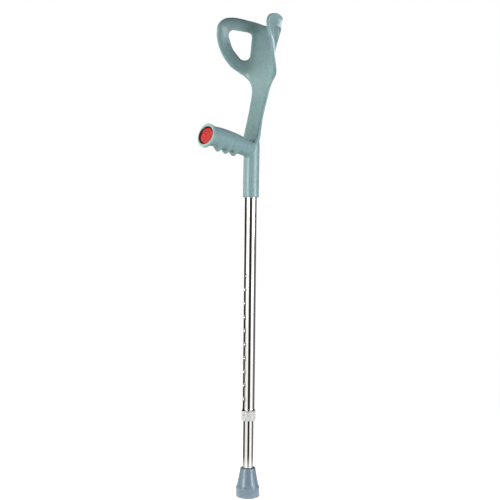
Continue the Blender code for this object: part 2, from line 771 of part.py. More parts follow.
def sheet_triangles(outline_step, window_step, grid_step, insets):
    """The sheet laid flat: points, their distances to any edge and to the rim, and triangles."""
    outline = sheet_outline(outline_step)
    windows = sheet_windows(window_step)
    loops = [outline] + windows

    def on_sheet(point):
        return inside(point, outline) and not any(inside(point, window) for window in windows)

    rings = []
    for depth in insets:
        rings.append(inset(outline, depth))
        rings += [inset(window, -depth) for window in windows]
    edges = []
    start = 0
    for loop in rings:
        count = len(loop)
        edges += [(start + i, start + (i + 1) % count) for i in range(count)]
        start += count
    grid = hexagon_grid(outline.min(0), outline.max(0), grid_step)
    grid = np.array([point for point in grid if on_sheet(point)])
    clear = distance_to_loops(grid, loops) > insets[-1] + GRID_CLEARANCE * grid_step
    points = np.vstack(rings + [grid[clear]])
    flat, _, faces, *_ = delaunay_2d_cdt([Vector(p) for p in points], edges, [], 0, 1e-7)
    flat = np.array([tuple(p) for p in flat])
    triangles = [face for face in faces if on_sheet(flat[list(face)].mean(0))]
    return flat, distance_to_loops(flat, loops), distance_to_loops(flat, [outline]), triangles


def sheet_body(outline_step, window_step, grid_step, insets):
    """The stem and cuff as one closed body with rounded edges."""
    flat, edge_distances, rim_distances, triangles = sheet_triangles(
        outline_step, window_step, grid_step, insets
    )
    bm = bmesh.new()
    front, back = [], []
    for (p, z), edge, rim in zip(flat, edge_distances, rim_distances):
        front_point, back_point = sheet_faces(p, z, edge, rim)
        front.append(bm.verts.new(front_point))
        back.append(bm.verts.new(back_point))
    for a, b, c in triangles:
        bm.faces.new((front[a], front[b], front[c]))
        bm.faces.new((back[c], back[b], back[a]))
    partner = dict(zip(front, back))
    rim = [edge for edge in bm.edges if edge.is_boundary and edge.verts[0] in partner]
    for edge in rim:
        a, b = edge.verts
        bm.faces.new((a, b, partner[b], partner[a]))
    loose = [vert for vert in bm.verts if not vert.link_faces]
    bmesh.ops.delete(bm, geom=loose, context="VERTS")
    return bm


def oval(front, back, half_v, z, steps=28):
    """A level oval section about the plane of symmetry, between two forward distances."""
    middle, half_u = (front + back) / 2.0, (front - back) / 2.0
    angles = [2.0 * math.pi * i / steps for i in range(steps)]
    return [(-(middle + half_u * math.cos(a)), half_v * math.sin(a), z) for a in angles]


def socket_lean(z):
    """How far the socket's outside sits behind the tube's axis at a height."""
    return SOCKET_LEAN * min((z + SOCKET_DEPTH) / SOCKET_DEPTH, 1.0)


def socket_body():
    """The round socket, running up into the spine behind the stem."""
    radius = SOCKET_DIAMETER / 2.0
    inner = radius - SOCKET_EDGE
    lean = socket_lean(SOCKET_CROWN)
    loops = [
        oval(inner, -inner, inner, -SOCKET_DEPTH),
        oval(radius, -radius, radius, SOCKET_EDGE - SOCKET_DEPTH),
        oval(radius - lean, -radius - lean, radius, SOCKET_CROWN),
    ]
    shoulder_top = SOCKET_CROWN + BACK_SHOULDER
    heights = list(np.arange(SOCKET_CROWN, shoulder_top, SHOULDER_STEP / 2.0)[1:])
    heights += list(np.linspace(shoulder_top, SPINE_TOP, SPINE_STEPS))
    for z in heights:
        front_share = smooth_step(z, SOCKET_CROWN, SOCKET_CROWN + FRONT_SHOULDER)
        back_share = smooth_step(z, SOCKET_CROWN, shoulder_top)
        fade = 1.0 - smooth_step(z, SPINE_TOP - SPINE_FADE, SPINE_TOP)
        spine_front = middle_u(z) - SPINE_COVER
        spine_back = middle_u(z) - sheet_thickness(z) - SPINE_HEIGHT * fade
        spine_half = SPINE_WIDTH / 4.0 * (1.0 + fade)
        front = radius - lean + (spine_front - radius + lean) * front_share
        back = -radius - lean + (spine_back + radius + lean) * back_share
        loops.append(oval(front, back, radius + (spine_half - radius) * back_share, z))
    return loft(loops)


def grip_centre(u):
    """Height of the grip's middle line."""
    share = u / GRIP_LENGTH
    arch = GRIP_ARCH * 4.0 * share * (1.0 - share)
    return GRIP_ROOT_HEIGHT + (GRIP_END_HEIGHT - GRIP_ROOT_HEIGHT) * share + arch


def finger_ridge(u):
    """How far the ridges between the fingers stand down at a distance along the grip."""
    turns = (u - FINGER_START) / FINGER_PITCH
    if not 0.0 < turns < FINGER_COUNT:
        return 0.0
    return FINGER_DEPTH * (0.5 - 0.5 * math.cos(2.0 * math.pi * turns)) ** FINGER_SHARPNESS


def grip_section(u, steps):
    """A section of the grip, leaning back by as much as the cap does at the grip's end."""
    share = u / GRIP_LENGTH
    lean = GRIP_TILT * smooth_step(share, GRIP_TILT_STARTS, 1.0)
    belly = math.sin(math.pi * share)
    at_end = smooth_step(share, GRIP_END_STARTS, 1.0)
    end_radius = GRIP_WIDTH / 2.0 + GRIP_END_GROWTH

    def half_size(middle, swell):
        return (middle / 2.0 + swell * belly) * (1.0 - at_end) + end_radius * at_end

    above = half_size(GRIP_HEIGHT, GRIP_CROWN) + GRIP_END_RISE * smooth_step(share, GRIP_RISE_STARTS, 1.0)
    below = half_size(GRIP_HEIGHT, GRIP_CROWN_BELOW)
    half_width = half_size(GRIP_WIDTH, GRIP_BELLY)
    half_width -= GRIP_ROOT_NARROWER * (1.0 - smooth_step(u, 0.0, GRIP_ROOT_LENGTH))
    ridge = finger_ridge(u + below * math.sin(lean))
    points = []
    for i in range(steps):
        angle = 2.0 * math.pi * i / steps
        across, up = math.cos(angle), math.sin(angle)
        lift = above * up if up > 0.0 else below * up - ridge * up**4
        forward = u - lift * math.sin(lean)
        points.append((-forward, half_width * across, grip_centre(u) + lift * math.cos(lean)))
    return points


def grip_body(steps, per_finger):
    """The solid grip, from inside the socket to the face that the cap covers."""
    ridges_end = FINGER_START + FINGER_COUNT * FINGER_PITCH
    stops = list(np.linspace(GRIP_ROOT_START, FINGER_START - 3.0 * MM, 4))
    stops += list(np.linspace(stops[-1], ridges_end, FINGER_COUNT * per_finger + 2)[1:])
    stops += list(np.linspace(stops[-1], GRIP_LENGTH, 5)[1:])
    return loft([grip_section(u, steps) for u in stops])


def grip_hollow():
    """The space inside the grip: straight where the cap plugs in, then along the grip's middle."""
    straight = CAP_SPIGOT_LENGTH + 2.0 * MM
    radius = GRIP_BORE / 2.0
    mouth = turned_solid([(radius, MM), (radius, -straight)], HOLLOW_STEPS)
    point_to(mouth, FORWARD)
    points = [vert.co + GRIP_END for vert in mouth.verts]
    mouth.free()
    loops = [points[:HOLLOW_STEPS], points[HOLLOW_STEPS:]]
    first = GRIP_LENGTH - straight
    for u in np.linspace(first, GRIP_BORE_START, 5)[1:]:
        share = (first - u) / (first - GRIP_BORE_START)
        lean = GRIP_TILT * (1.0 - share)
        loop = []
        for x, y, _ in ring(radius + (GRIP_BORE_INNER / 2.0 - radius) * share, 0.0, HOLLOW_STEPS):
            loop.append((-u + x * math.sin(lean), y, grip_centre(u) + x * math.cos(lean)))
        loops.append(loop)
    return loft(loops)


def screw_space():
    """The hole for the screw and its sunken head, about the screw's axis."""
    wall = SCREW_WALL_X
    sink = wall - SCREW_SUNK - SCREW_HEAD_HEIGHT - TOUCH
    head, shank = SCREW_HEAD_DIAMETER / 2.0 + TOUCH, SCREW_DIAMETER / 2.0 + TOUCH
    profile = [(head, wall + MM), (head, sink), (shank, sink), (shank, UPPER_BORE / 2.0)]
    return point_to(turned_solid(profile, PIN_STEPS), REAR)


def make_handle(mat):
    """Socket, grip, stem and cuff: one moulding with a bore for the tube and a hollow grip."""
    sheet = sheet_body(OUTLINE_STEP, WINDOW_STEP, SHEET_STEP, EDGE_BANDS)
    handle = add_object("handle_body", sheet, mat, HANDLE_ORIGIN)
    socket = add_cutter("socket_shape", socket_body(), HANDLE_ORIGIN)
    combine(handle, socket, "UNION")
    grip = add_cutter("grip_shape", grip_body(GRIP_STEPS, GRIP_STEPS_PER_FINGER), HANDLE_ORIGIN)
    combine(handle, grip, "UNION")
    radius = SOCKET_BORE / 2.0
    bore = turned_solid([(radius, TOUCH), (radius, -SOCKET_DEPTH - MM)])
    combine(handle, add_cutter("tube_bore", bore, HANDLE_ORIGIN), "DIFFERENCE")
    combine(handle, add_cutter("grip_hollow", grip_hollow(), HANDLE_ORIGIN), "DIFFERENCE")
    combine(handle, add_cutter("screw_space", screw_space(), SCREW_ORIGIN), "DIFFERENCE")
    return handle


def make_screw(mat):
    """The screw through the back of the socket that holds the upper tube."""
    top = SCREW_WALL_X - SCREW_SUNK
    under = top - SCREW_HEAD_HEIGHT
    tip = UPPER_BORE / 2.0 - SCREW_IN_BORE
    head, shank = SCREW_HEAD_DIAMETER / 2.0, SCREW_DIAMETER / 2.0
    profile = [
        (shank / 2.0, tip),
        (shank, tip + shank / 2.0),
        (shank, under),
        (head, under),
        (head, top - SCREW_HEAD_DOME),
        (head - SCREW_HEAD_DOME, top),
    ]
    screw = point_to(turned_solid(profile, PIN_STEPS), REAR)
    return add_object("handle_screw", screw, mat, SCREW_ORIGIN)


def cap_loop(inwards, z):
    """A loop of the cap's oval rim, moved in from its outline."""
    tall, wide = CAP_HEIGHT / 2.0 - inwards, CAP_WIDTH / 2.0 - inwards
    angles = [2.0 * math.pi * i / ROUND_STEPS for i in range(ROUND_STEPS)]
    return [(tall * math.cos(a), wide * math.sin(a), z) for a in angles]


def make_grip_cap(mat):
    """The flanged plug in the open end of the grip, with a round recess for the reflector."""
    recess = REFLECTOR_DIAMETER / 2.0 + TOUCH
    spigot = GRIP_BORE / 2.0 - TOUCH
    inner = spigot - CAP_SPIGOT_WALL
    rounding = arc((CAP_EDGE, CAP_FRONT - CAP_EDGE), CAP_EDGE, 180.0, 90.0, 3)
    loops = [cap_loop(CAP_EDGE, TOUCH), cap_loop(0.0, TOUCH + CAP_EDGE)]
    loops += [cap_loop(inwards, z) for inwards, z in rounding]
    inside_profile = [
        (recess + CAP_RECESS_EDGE, CAP_FRONT),
        (recess, CAP_FRONT - CAP_RECESS_EDGE),
        (recess, RECESS_FLOOR),
        (inner, RECESS_FLOOR),
        (inner, -CAP_SPIGOT_LENGTH),
        (spigot - CAP_SPIGOT_LEAD, -CAP_SPIGOT_LENGTH),
        (spigot, -CAP_SPIGOT_LENGTH + MM),
        (spigot, TOUCH),
    ]
    loops += [ring(radius, z) for radius, z in inside_profile]
    cap = point_to(loft(loops, closed=True), FORWARD)
    return add_object("grip_end_cap", cap, mat, CAP_ORIGIN)


def make_reflector(lens_mat, back_mat):
    """The red lens, a shallow dish with a raised rim, and the plate welded behind it."""
    radius = REFLECTOR_DIAMETER / 2.0
    inner, rim_top = radius - LENS_RIM_WIDTH, CAP_FRONT - LENS_RIM_BELOW
    lens = [(radius, LENS_BACK), (radius, rim_top), (inner, rim_top)]
    crown_steps = 4
    for i in range(crown_steps):
        left = 1.0 - i / crown_steps
        lens.append((inner * left, LENS_FRONT - LENS_CROWN * left**2))
    add_object("reflector_lens", point_to(turned_solid(lens), FORWARD), lens_mat, CAP_ORIGIN)
    plate = [(radius, PLATE_BACK), (radius, PLATE_FRONT)]
    add_object("reflector_back", point_to(turned_solid(plate), FORWARD), back_mat, CAP_ORIGIN)


def make_lower_assembly(steel, chrome, rubber):
    """Everything that slides with the lower tube hangs from one empty on the tubes' axis."""
    slide = bpy.data.objects.new("height_slide_axis", None)
    slide.empty_display_size = 30.0 * MM
    bpy.context.scene.collection.objects.link(slide)
    make_lower_tube(chrome, slide)
    make_button_spring(steel, slide)
    make_button(steel, slide)
    make_foot(rubber, slide)
    make_foot_washer(steel, slide)


def build():
    clear_scene()
    plastic = material("sage_plastic", (130, 160, 158), 0.42)
    cap_plastic = material("pale_green_plastic", (165, 198, 184), 0.4)
    red = material("red_lens", (222, 66, 62), 0.18)
    backing = material("grey_backing", (190, 190, 188), 0.4)
    chrome = material("polished_aluminium", (214, 215, 216), 0.12, 1.0)
    steel = material("spring_steel", (150, 152, 155), 0.3, 1.0)
    white = material("white_nylon", (222, 222, 222), 0.45)
    rubber = material("blue_grey_rubber", (130, 149, 165), 0.6)
    make_handle(plastic)
    make_grip_cap(cap_plastic)
    make_reflector(red, backing)
    make_screw(steel)
    make_upper_tube(chrome)
    make_guide_bush(white)
    make_collar(white)
    make_lower_assembly(steel, chrome, rubber)


build()
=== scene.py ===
import math

import bmesh
import bpy
import numpy as np
from mathutils import Matrix, Vector
from mathutils.geometry import delaunay_2d_cdt


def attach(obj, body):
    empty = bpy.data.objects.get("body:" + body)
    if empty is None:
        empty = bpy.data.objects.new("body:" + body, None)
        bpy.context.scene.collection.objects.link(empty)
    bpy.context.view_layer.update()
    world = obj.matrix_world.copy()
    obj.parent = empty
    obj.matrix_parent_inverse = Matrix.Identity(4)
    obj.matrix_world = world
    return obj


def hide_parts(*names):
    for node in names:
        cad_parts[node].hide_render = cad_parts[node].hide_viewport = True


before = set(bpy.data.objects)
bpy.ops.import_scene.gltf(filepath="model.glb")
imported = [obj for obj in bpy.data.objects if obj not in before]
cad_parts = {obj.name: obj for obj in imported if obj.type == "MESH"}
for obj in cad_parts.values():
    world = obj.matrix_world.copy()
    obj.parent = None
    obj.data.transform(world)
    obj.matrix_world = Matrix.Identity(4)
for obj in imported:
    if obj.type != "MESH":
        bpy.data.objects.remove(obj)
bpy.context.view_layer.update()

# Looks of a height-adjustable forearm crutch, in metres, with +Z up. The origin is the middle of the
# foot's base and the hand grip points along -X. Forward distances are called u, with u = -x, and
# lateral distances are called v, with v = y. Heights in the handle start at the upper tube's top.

MM = 0.001
UP = Vector((0.0, 0.0, 1.0))
FRONT = Vector((-1.0, 0.0, 0.0))
TOUCH = 0.3 * MM

# Camera of the photograph
CAMERA_DISTANCE = 2.1
CAMERA_HEIGHT = 0.6221
CAMERA_TURN = math.radians(47.72)
CAMERA_PITCH = math.radians(4.41)
CAMERA_ROLL = math.radians(0.62)
CAMERA_SHIFT = (-0.0004, 0.0008)
PHOTO_WIDTH = 500
FOCAL_PIXELS = 1146.0
SENSOR_WIDTH = 36.0

# Tubes
UPPER_RADIUS = 11.0 * MM
TUBE_WALL = 1.2 * MM
TUBE_EDGE = 0.25 * MM
LOWER_RADIUS = UPPER_RADIUS - TUBE_WALL - TOUCH
UPPER_BOTTOM_Z = 148.7 * MM
UPPER_TOP_Z = 651.7 * MM
LOWER_BOTTOM_Z = 11.5 * MM
LOWER_TOP_Z = 448.0 * MM
BUTTON_Z = 413.4 * MM
HOLE_PITCH = 25.4 * MM
HOLE_COUNT = 10
HOLE_DIAMETER = 8.0 * MM
HOLE_EDGE = 0.35 * MM
THREAD_LENGTH = 13.8 * MM
THREAD_RADIUS = 12.1 * MM
THREAD_BORE = 10.9 * MM
THREAD_PITCH = 1.5 * MM
THREAD_DEPTH = 0.22 * MM
FLARE_LIP_Z = UPPER_BOTTOM_Z + THREAD_LENGTH
FLARE_HEIGHT = 4.2 * MM
FLARE_LIP_WIDTH = 0.55 * MM
FLARE_LIP_HEIGHT = 0.6 * MM
BUSH_RADIUS = 10.6 * MM
BUSH_BORE = 9.8 * MM
BUSH_LENGTH = THREAD_LENGTH - 2.0 * TOUCH
BUSH_SPLIT = math.radians(9.0)
THIN_EDGE = 0.15 * MM

# The drill's length in tube radii, and its rim cone's length and depth in edge widths
DRILL_SIDES = 32
DRILL_REACH = 1.2
RIM_LENGTH = 4.0
RIM_SUNK = 1.6

# Button and its leaf spring
BUTTON_RADIUS = 3.7 * MM
BUTTON_TIP = UPPER_RADIUS + 1.6 * MM
BUTTON_DOME = 1.3 * MM
BUTTON_BACK = 7.5 * MM
BUTTON_MIDDLE = 0.5 * MM
LEAF_WIDTH = 7.0 * MM
LEAF_THICKNESS = 0.5 * MM
LEAF_EDGE = 0.12 * MM
LEAF_LENGTH = 46.0 * MM
LEAF_ABOVE_BUTTON = 8.0 * MM
LEAF_NOSE = 1.6 * MM
LEAF_REACH = 7.2 * MM

# Collar
COLLAR_Z = 143.4 * MM
COLLAR_RADIUS = 13.5 * MM
COLLAR_LIP = 5.0 * MM
COLLAR_ROUND = 3.0 * MM
COLLAR_RIBS = 24
COLLAR_RIB_DEPTH = 0.45 * MM
COLLAR_RIB_WIDTH = 2.3 * MM
COLLAR_RIB_SHORTER = 0.9 * MM
COLLAR_RIB_RAISED = 0.2 * MM
COLLAR_RIB_SUNK = 0.25 * MM
COLLAR_RIB_ROOT = 0.6 * MM
COLLAR_BODY_RADIUS = COLLAR_RADIUS - COLLAR_RIB_DEPTH + 0.05 * MM
COLLAR_SKIRT_RISE = 0.6 * MM
COLLAR_SKIRT_SUNK = 0.1 * MM
COLLAR_EDGE = 0.5 * MM
COLLAR_BORE_EDGE = 0.3 * MM

# A rib's ends, as shares of its length and of its full size
COLLAR_RIB_ENDS = ((0.0, 0.35), (0.04, 0.8), (0.1, 1.0), (0.9, 1.0), (0.96, 0.8), (1.0, 0.35))

# Foot
FOOT_HEIGHT = 54.2 * MM
FOOT_RADIUS = 21.9 * MM
FOOT_SHOULDER_RADIUS = 20.6 * MM
FOOT_SHOULDER_Z = 20.4 * MM
FOOT_SHOULDER_ROUND = 1.6 * MM
FOOT_RIM_RADIUS = 14.0 * MM
FOOT_RIM_WIDTH = 1.4 * MM
FOOT_RIM_ROUND = 0.6 * MM
FOOT_MOUTH_DEPTH = 3.0 * MM
FOOT_MOUTH_EDGE = (0.3 * MM, 0.5 * MM)
FOOT_SAG = 0.4 * MM
FOOT_FLOOR = 9.4 * MM
FOOT_EDGE_ROUND = 2.0 * MM
TREAD_DEPTH = 1.2 * MM
TREAD_RADII = (11.0 * MM, 15.5 * MM)
TREAD_HALF = 0.9 * MM
TREAD_DRAFT = 0.3 * MM
WASHER_THICKNESS = 1.5 * MM
WASHER_HOLE = 2.5 * MM
WASHER_EDGE = 0.2 * MM

# Where the foot's flank starts and ends on the way from its rim to its shoulder, and the shoulder's knee
FOOT_FLANK = (0.06, 0.97)
FOOT_KNEE = 0.35

# Handle: socket, spine and screw
SOCKET_DEPTH = 94.5 * MM
SOCKET_RADIUS = 14.65 * MM
SOCKET_BORE = 11.3 * MM
SOCKET_CROWN = 2.0 * MM
SOCKET_LEAN = 1.1 * MM
SOCKET_EDGE = 0.6 * MM
FRONT_SHOULDER = 9.0 * MM
BACK_SHOULDER = 24.0 * MM
SPINE_TOP = 135.0 * MM
SPINE_FADE = 70.0 * MM
SPINE_HEIGHT = 3.2 * MM
SPINE_WIDTH = 15.0 * MM
SPINE_COVER = 1.5 * MM
SCREW_ABOVE_SOCKET_END = 34.5 * MM
SCREW_RADIUS = 1.8 * MM
SCREW_TIP = UPPER_RADIUS - TUBE_WALL - 1.5 * MM
SCREW_TIP_LENGTH = 1.2 * MM
SCREW_TIP_RADIUS = 0.3 * MM
SCREW_HEAD_RADIUS = 3.5 * MM
SCREW_HEAD_HEIGHT = 1.7 * MM
SCREW_HEAD_DOME = 0.7 * MM
SCREW_CROSS_LENGTH = 2.0 * MM
SCREW_CROSS_WIDTH = 0.75 * MM
SCREW_CROSS_DEPTH = 1.1 * MM
SCREW_SUNK = 0.5 * MM
SINK_RIM_WIDTH = 1.0 * MM
SINK_RIM_ABOVE = 0.6 * MM
SINK_RIM_BELOW = 0.4 * MM
SCREW_WALL = SOCKET_RADIUS + SOCKET_LEAN * SCREW_ABOVE_SOCKET_END / SOCKET_DEPTH

# Handle: grip
GRIP_LENGTH = 113.5 * MM
GRIP_END_HEIGHT = 14.8 * MM
GRIP_ROOT_HEIGHT = -8.4 * MM
GRIP_ROOT_START = 2.0 * MM
GRIP_ROOT_NARROWER = 2.2 * MM
GRIP_ROOT_LENGTH = 22.0 * MM
GRIP_ARCH = 2.4 * MM
GRIP_WIDTH = 31.0 * MM
GRIP_HEIGHT = 31.0 * MM
GRIP_CROWN = 3.6 * MM
GRIP_CROWN_BELOW = 0.4 * MM
GRIP_BELLY = 0.8 * MM
GRIP_TILT = math.radians(18.0)
GRIP_TILT_STARTS = 0.25
GRIP_END_STARTS = 0.84
GRIP_END_GROWTH = 1.6 * MM
GRIP_RISE_STARTS = 0.45
GRIP_END_RISE = 3.4 * MM
FINGER_PITCH = 19.6 * MM
FINGER_START = 38.3 * MM
FINGER_COUNT = 3
FINGER_DEPTH = 7.6 * MM
FINGER_SHARPNESS = 1.8
GRIP_BORE = 11.5 * MM
GRIP_BORE_INNER = 9.5 * MM
GRIP_BORE_START = 30.0 * MM

# Cap and reflector
CAP_TALL = 21.8 * MM
CAP_WIDE = 18.6 * MM
CAP_FRONT = 5.9 * MM
CAP_EDGE = 0.9 * MM
CAP_EDGE_MIDDLE = 0.25 * MM
CAP_RECESS_EDGE = 0.4 * MM
# Heights along the cap's axis where its face begins, and the darker, bluish colour painted below them on the
# cap's side as shade
CAP_FACE_STARTS = (CAP_FRONT - 1.3 * MM, CAP_FRONT - 0.5 * MM)
CAP_FLANK_PAINTED_SHADE = (140, 168, 170)
SPIGOT_LENGTH = 10.0 * MM
SPIGOT_RADIUS = GRIP_BORE - TOUCH
SPIGOT_WALL = 1.6 * MM
SPIGOT_EDGE = 0.3 * MM
SPIGOT_NOSE = 1.0 * MM
SPIGOT_CLEARANCE = 2.0 * MM
REFLECTOR_RADIUS = 16.3 * MM
REFLECTOR_SUNK = 2.4 * MM
LENS_THICKNESS = 1.0 * MM
LENS_CROWN = 0.3 * MM
LENS_RIM_WIDTH = 0.8 * MM
LENS_RIM_BELOW = 0.5 * MM
LENS_MIDDLE = 0.2 * MM
PLATE_THICKNESS = 0.6 * MM
PLATE_MIDDLE = 0.3 * MM
LENS_FILLET = 0.4 * MM
LENS_FRONT = CAP_FRONT - REFLECTOR_SUNK
LENS_BACK = LENS_FRONT - LENS_CROWN - LENS_THICKNESS
PLATE_FRONT = LENS_BACK - TOUCH
PLATE_BACK = PLATE_FRONT - PLATE_THICKNESS
RECESS_FLOOR = PLATE_BACK - TOUCH
PRISM_PITCH = 1.3 * MM
PRISM_HEIGHT = 0.4 * MM
PRISM_REACH = 0.56
# Radii over which a dark red ring is painted at the lens's border, as shade from the recess wall
LENS_SHADE_RING = (13.1 * MM, 14.3 * MM)
# Span along the cap's X, which points up, over which the lens's lower part is painted lighter, as light
# falling on it
LENS_PAINTED_LIGHT = (-13.0 * MM, 3.0 * MM)

# Handle: stem and cuff, as one curved sheet. Each station gives a height, where the middle of the front
# face lies forward of the tube's axis, both in millimetres, and how far the wings turn, in degrees.
SHEET_STATIONS = (
    (-4.0, 6.0, 0.0),
    (14.0, 4.4, 0.0),
    (27.0, 0.6, 0.0),
    (49.0, -5.8, 0.0),
    (70.0, -12.0, 0.0),
    (90.0, -17.4, 0.0),
    (109.0, -20.0, 5.0),
    (123.0, -21.2, 25.0),
    (135.0, -23.0, 44.0),
    (150.0, -25.8, 52.5),
    (183.0, -32.3, 59.5),
    (207.0, -36.6, 66.0),
    (240.0, -41.8, 70.5),
)
BEND_MIDDLE = 27.0 * MM
BEND_AT_STEM = 30.0 * MM
BEND_AT_TOP = 42.0 * MM
BEND_WIDENS = (105.0 * MM, 170.0 * MM)
CUFF_WALL = 4.4 * MM
EDGE_FLARE = 2.2 * MM
EDGE_FLARE_WIDTH = 8.5 * MM
EDGE_FLARE_GROWS = (76.0 * MM, 112.0 * MM)
EDGE_BEAD = 0.55 * MM
EDGE_BEAD_WIDTH = 5.0 * MM
TOP_FLARE = 5.2 * MM
TOP_FLARE_GROWS = (168.0 * MM, 217.0 * MM)
TOP_FLARE_ENDS = (55.0 * MM, 95.0 * MM)
STEM_HOLLOW = 0.8 * MM
STEM_HOLLOW_WIDTH = 12.0 * MM
STEM_TOP = 112.0 * MM
STEM_FADE = 30.0 * MM
STEM_WALL = 6.4 * MM
SHEET_THICKNESS = (
    (-4.0 * MM, 11.5 * MM),
    (14.0 * MM, 10.8 * MM),
    (27.0 * MM, 8.6 * MM),
    (49.0 * MM, STEM_WALL),
    (STEM_TOP, STEM_WALL),
    (135.0 * MM, 5.4 * MM),
    (160.0 * MM, CUFF_WALL),
)

# Right half of the sheet's outline: distance along the sheet from its middle line, and height, in mm
SHEET_OUTLINE = (
    (0.0, -4.0),
    (9.0, -3.6),
    (13.8, 0.5),
    (17.0, 8.0),
    (19.0, 18.0),
    (18.6, 30.0),
    (17.9, 50.0),
    (18.3, 72.0),
    (19.4, 90.0),
    (21.6, 106.0),
    (29.8, 121.0),
    (46.0, 133.5),
    (63.9, 147.0),
    (81.6, 168.5),
    (94.9, 194.0),
    (98.3, 208.0),
    (97.6, 221.0),
    (88.0, 231.0),
    (73.0, 234.8),
    (54.0, 235.0),
    (29.0, 230.6),
    (12.0, 223.4),
    (0.0, 221.8),
)

# Corners of the window in each wing, in the same measures, with the radius of each corner
WINDOW_CORNERS = (
    (79.4, 213.2, 9.0),
    (30.6, 209.5, 9.0),
    (28.8, 156.8, 8.0),
    (43.8, 158.6, 12.0),
    (62.8, 178.2, 40.0),
)

# How far a cutter runs past what it cuts
PAST = 1.0 * MM

# Fineness of the meshes
TUBE_STEPS = 128
FINE_STEPS = 96
SMALL_STEPS = 48
OVAL_STEPS = 72
SPINE_SECTIONS = 56
GRIP_SECTIONS = 96
BEND_STEPS = 25
SMOOTH_ANGLE = 35.0
OUTLINE_STEP = 2.0 * MM
SHEET_STEP = 3.2 * MM
EDGE_BANDS = tuple(depth * MM for depth in (0.0, 0.25, 0.7, 1.4, 2.3, 3.6, 5.2))
VOXEL = 1.0 * MM
MERGE = 0.01 * MM

# Passes that even the handle's surface: inwards at first, then in turns with outward ones
MELT_PASSES = (0.5,) * 4 + (0.5, -0.53) * 8


def linear(red, green, blue):
    """A colour given in display values from 0 to 255, in linear light."""

    def channel(value):
        value /= 255.0
        return value / 12.92 if value <= 0.04045 else ((value + 0.055) / 1.055) ** 2.4

    return channel(red), channel(green), channel(blue), 1.0


def smooth_step(value, low, high):
    share = np.clip((value - low) / (high - low), 0.0, 1.0)
    return share * share * (3.0 - 2.0 * share)


class Nodes:
    """A node tree, with short calls for what is added to it."""

    def __init__(self, tree):
        self.tree = tree

    def node(self, kind, *values, **named):
        """Adds a node: values for its inputs in order, settings in lower case, other inputs by name."""
        node = self.tree.nodes.new(kind)
        for name, value in named.items():
            if name.islower():
                setattr(node, name, value)
        for socket, value in zip(node.inputs, values):
            self.feed(socket, value)
        self.feed_named(node, **{name: value for name, value in named.items() if not name.islower()})
        return node

    def out(self, kind, *values, **named):
        """Adds a node and gives its first output."""
        return self.node(kind, *values, **named).outputs[0]

    def feed(self, socket, value):
        """Links an output to a socket, or sets the socket to a value."""
        if isinstance(value, bpy.types.NodeSocket):
            self.tree.links.new(value, socket)
        elif value is not None:
            socket.default_value = value

    def feed_named(self, node, **inputs):
        for name, value in inputs.items():
            self.feed(node.inputs[name.replace("_", " ")], value)

    def math(self, operation, *values):
        return self.out("ShaderNodeMath", *values, operation=operation)

    def plus(self, first, second):
        return self.math("ADD", first, second)

    def minus(self, first, second):
        return self.math("SUBTRACT", first, second)

    def times(self, first, second):
        return self.math("MULTIPLY", first, second)

    def vector_math(self, operation, *values):
        return self.node("ShaderNodeVectorMath", *values, operation=operation).outputs

    def length(self, vector):
        return self.vector_math("LENGTH", vector)["Value"]

    def part(self, axis, vector):
        return self.node("ShaderNodeSeparateXYZ", vector).outputs[axis]


class Finish(Nodes):
    """A material of the crutch, whose shader is fed from textures in place."""

    def __init__(self, name, colour, roughness, **sockets):
        self.material = bpy.data.materials.new(name + "_finish")
        self.material["slot"] = name
        self.material.use_nodes = True
        super().__init__(self.material.node_tree)
        self.shader = self.tree.nodes["Principled BSDF"]
        self.feed_named(self.shader, Base_Color=linear(*colour), Roughness=roughness, **sockets)
        self.place = self.node("ShaderNodeTexCoord").outputs["Object"]

    def stretched(self, scale, turn=(0.0, 0.0, 0.0)):
        """The position, scaled and turned for a texture that runs along the piece."""
        return self.out("ShaderNodeMapping", Vector=self.place, Scale=scale, Rotation=turn)

    def seen_from(self, place):
        """The position measured from another place and along its axes."""
        there = place.inverted()
        return self.out(
            "ShaderNodeMapping", Vector=self.place, Location=there.translation, Rotation=there.to_euler()
        )

    def noise(self, scale, detail, vector=None, rough=0.55):
        return self.out(
            "ShaderNodeTexNoise", Vector=vector or self.place, Scale=scale, Detail=detail, Roughness=rough
        )

    def levels(self, value, low, high, bottom=0.0, top=1.0):
        """Eases from the bottom to the top while the value goes from low to high."""
        return self.out(
            "ShaderNodeMapRange", value, low, high, bottom, top, interpolation_type="SMOOTHSTEP"
        )

    def blend(self, share, first, second):
        """Mixes two colours, each an output or display values from 0 to 255."""
        node = self.node("ShaderNodeMix", share, data_type="RGBA")
        for socket, colour in zip(node.inputs[6:8], (first, second)):
            self.feed(socket, linear(*colour) if isinstance(colour, tuple) else colour)
        return node.outputs[2]

    def bump(self, height, strength, distance):
        return self.out("ShaderNodeBump", Strength=strength, Distance=distance, Height=height)

    def paint(self, colour=None, roughness=None, normal=None):
        self.feed_named(self.shader, Base_Color=colour, Roughness=roughness, Normal=normal)
        return self.material


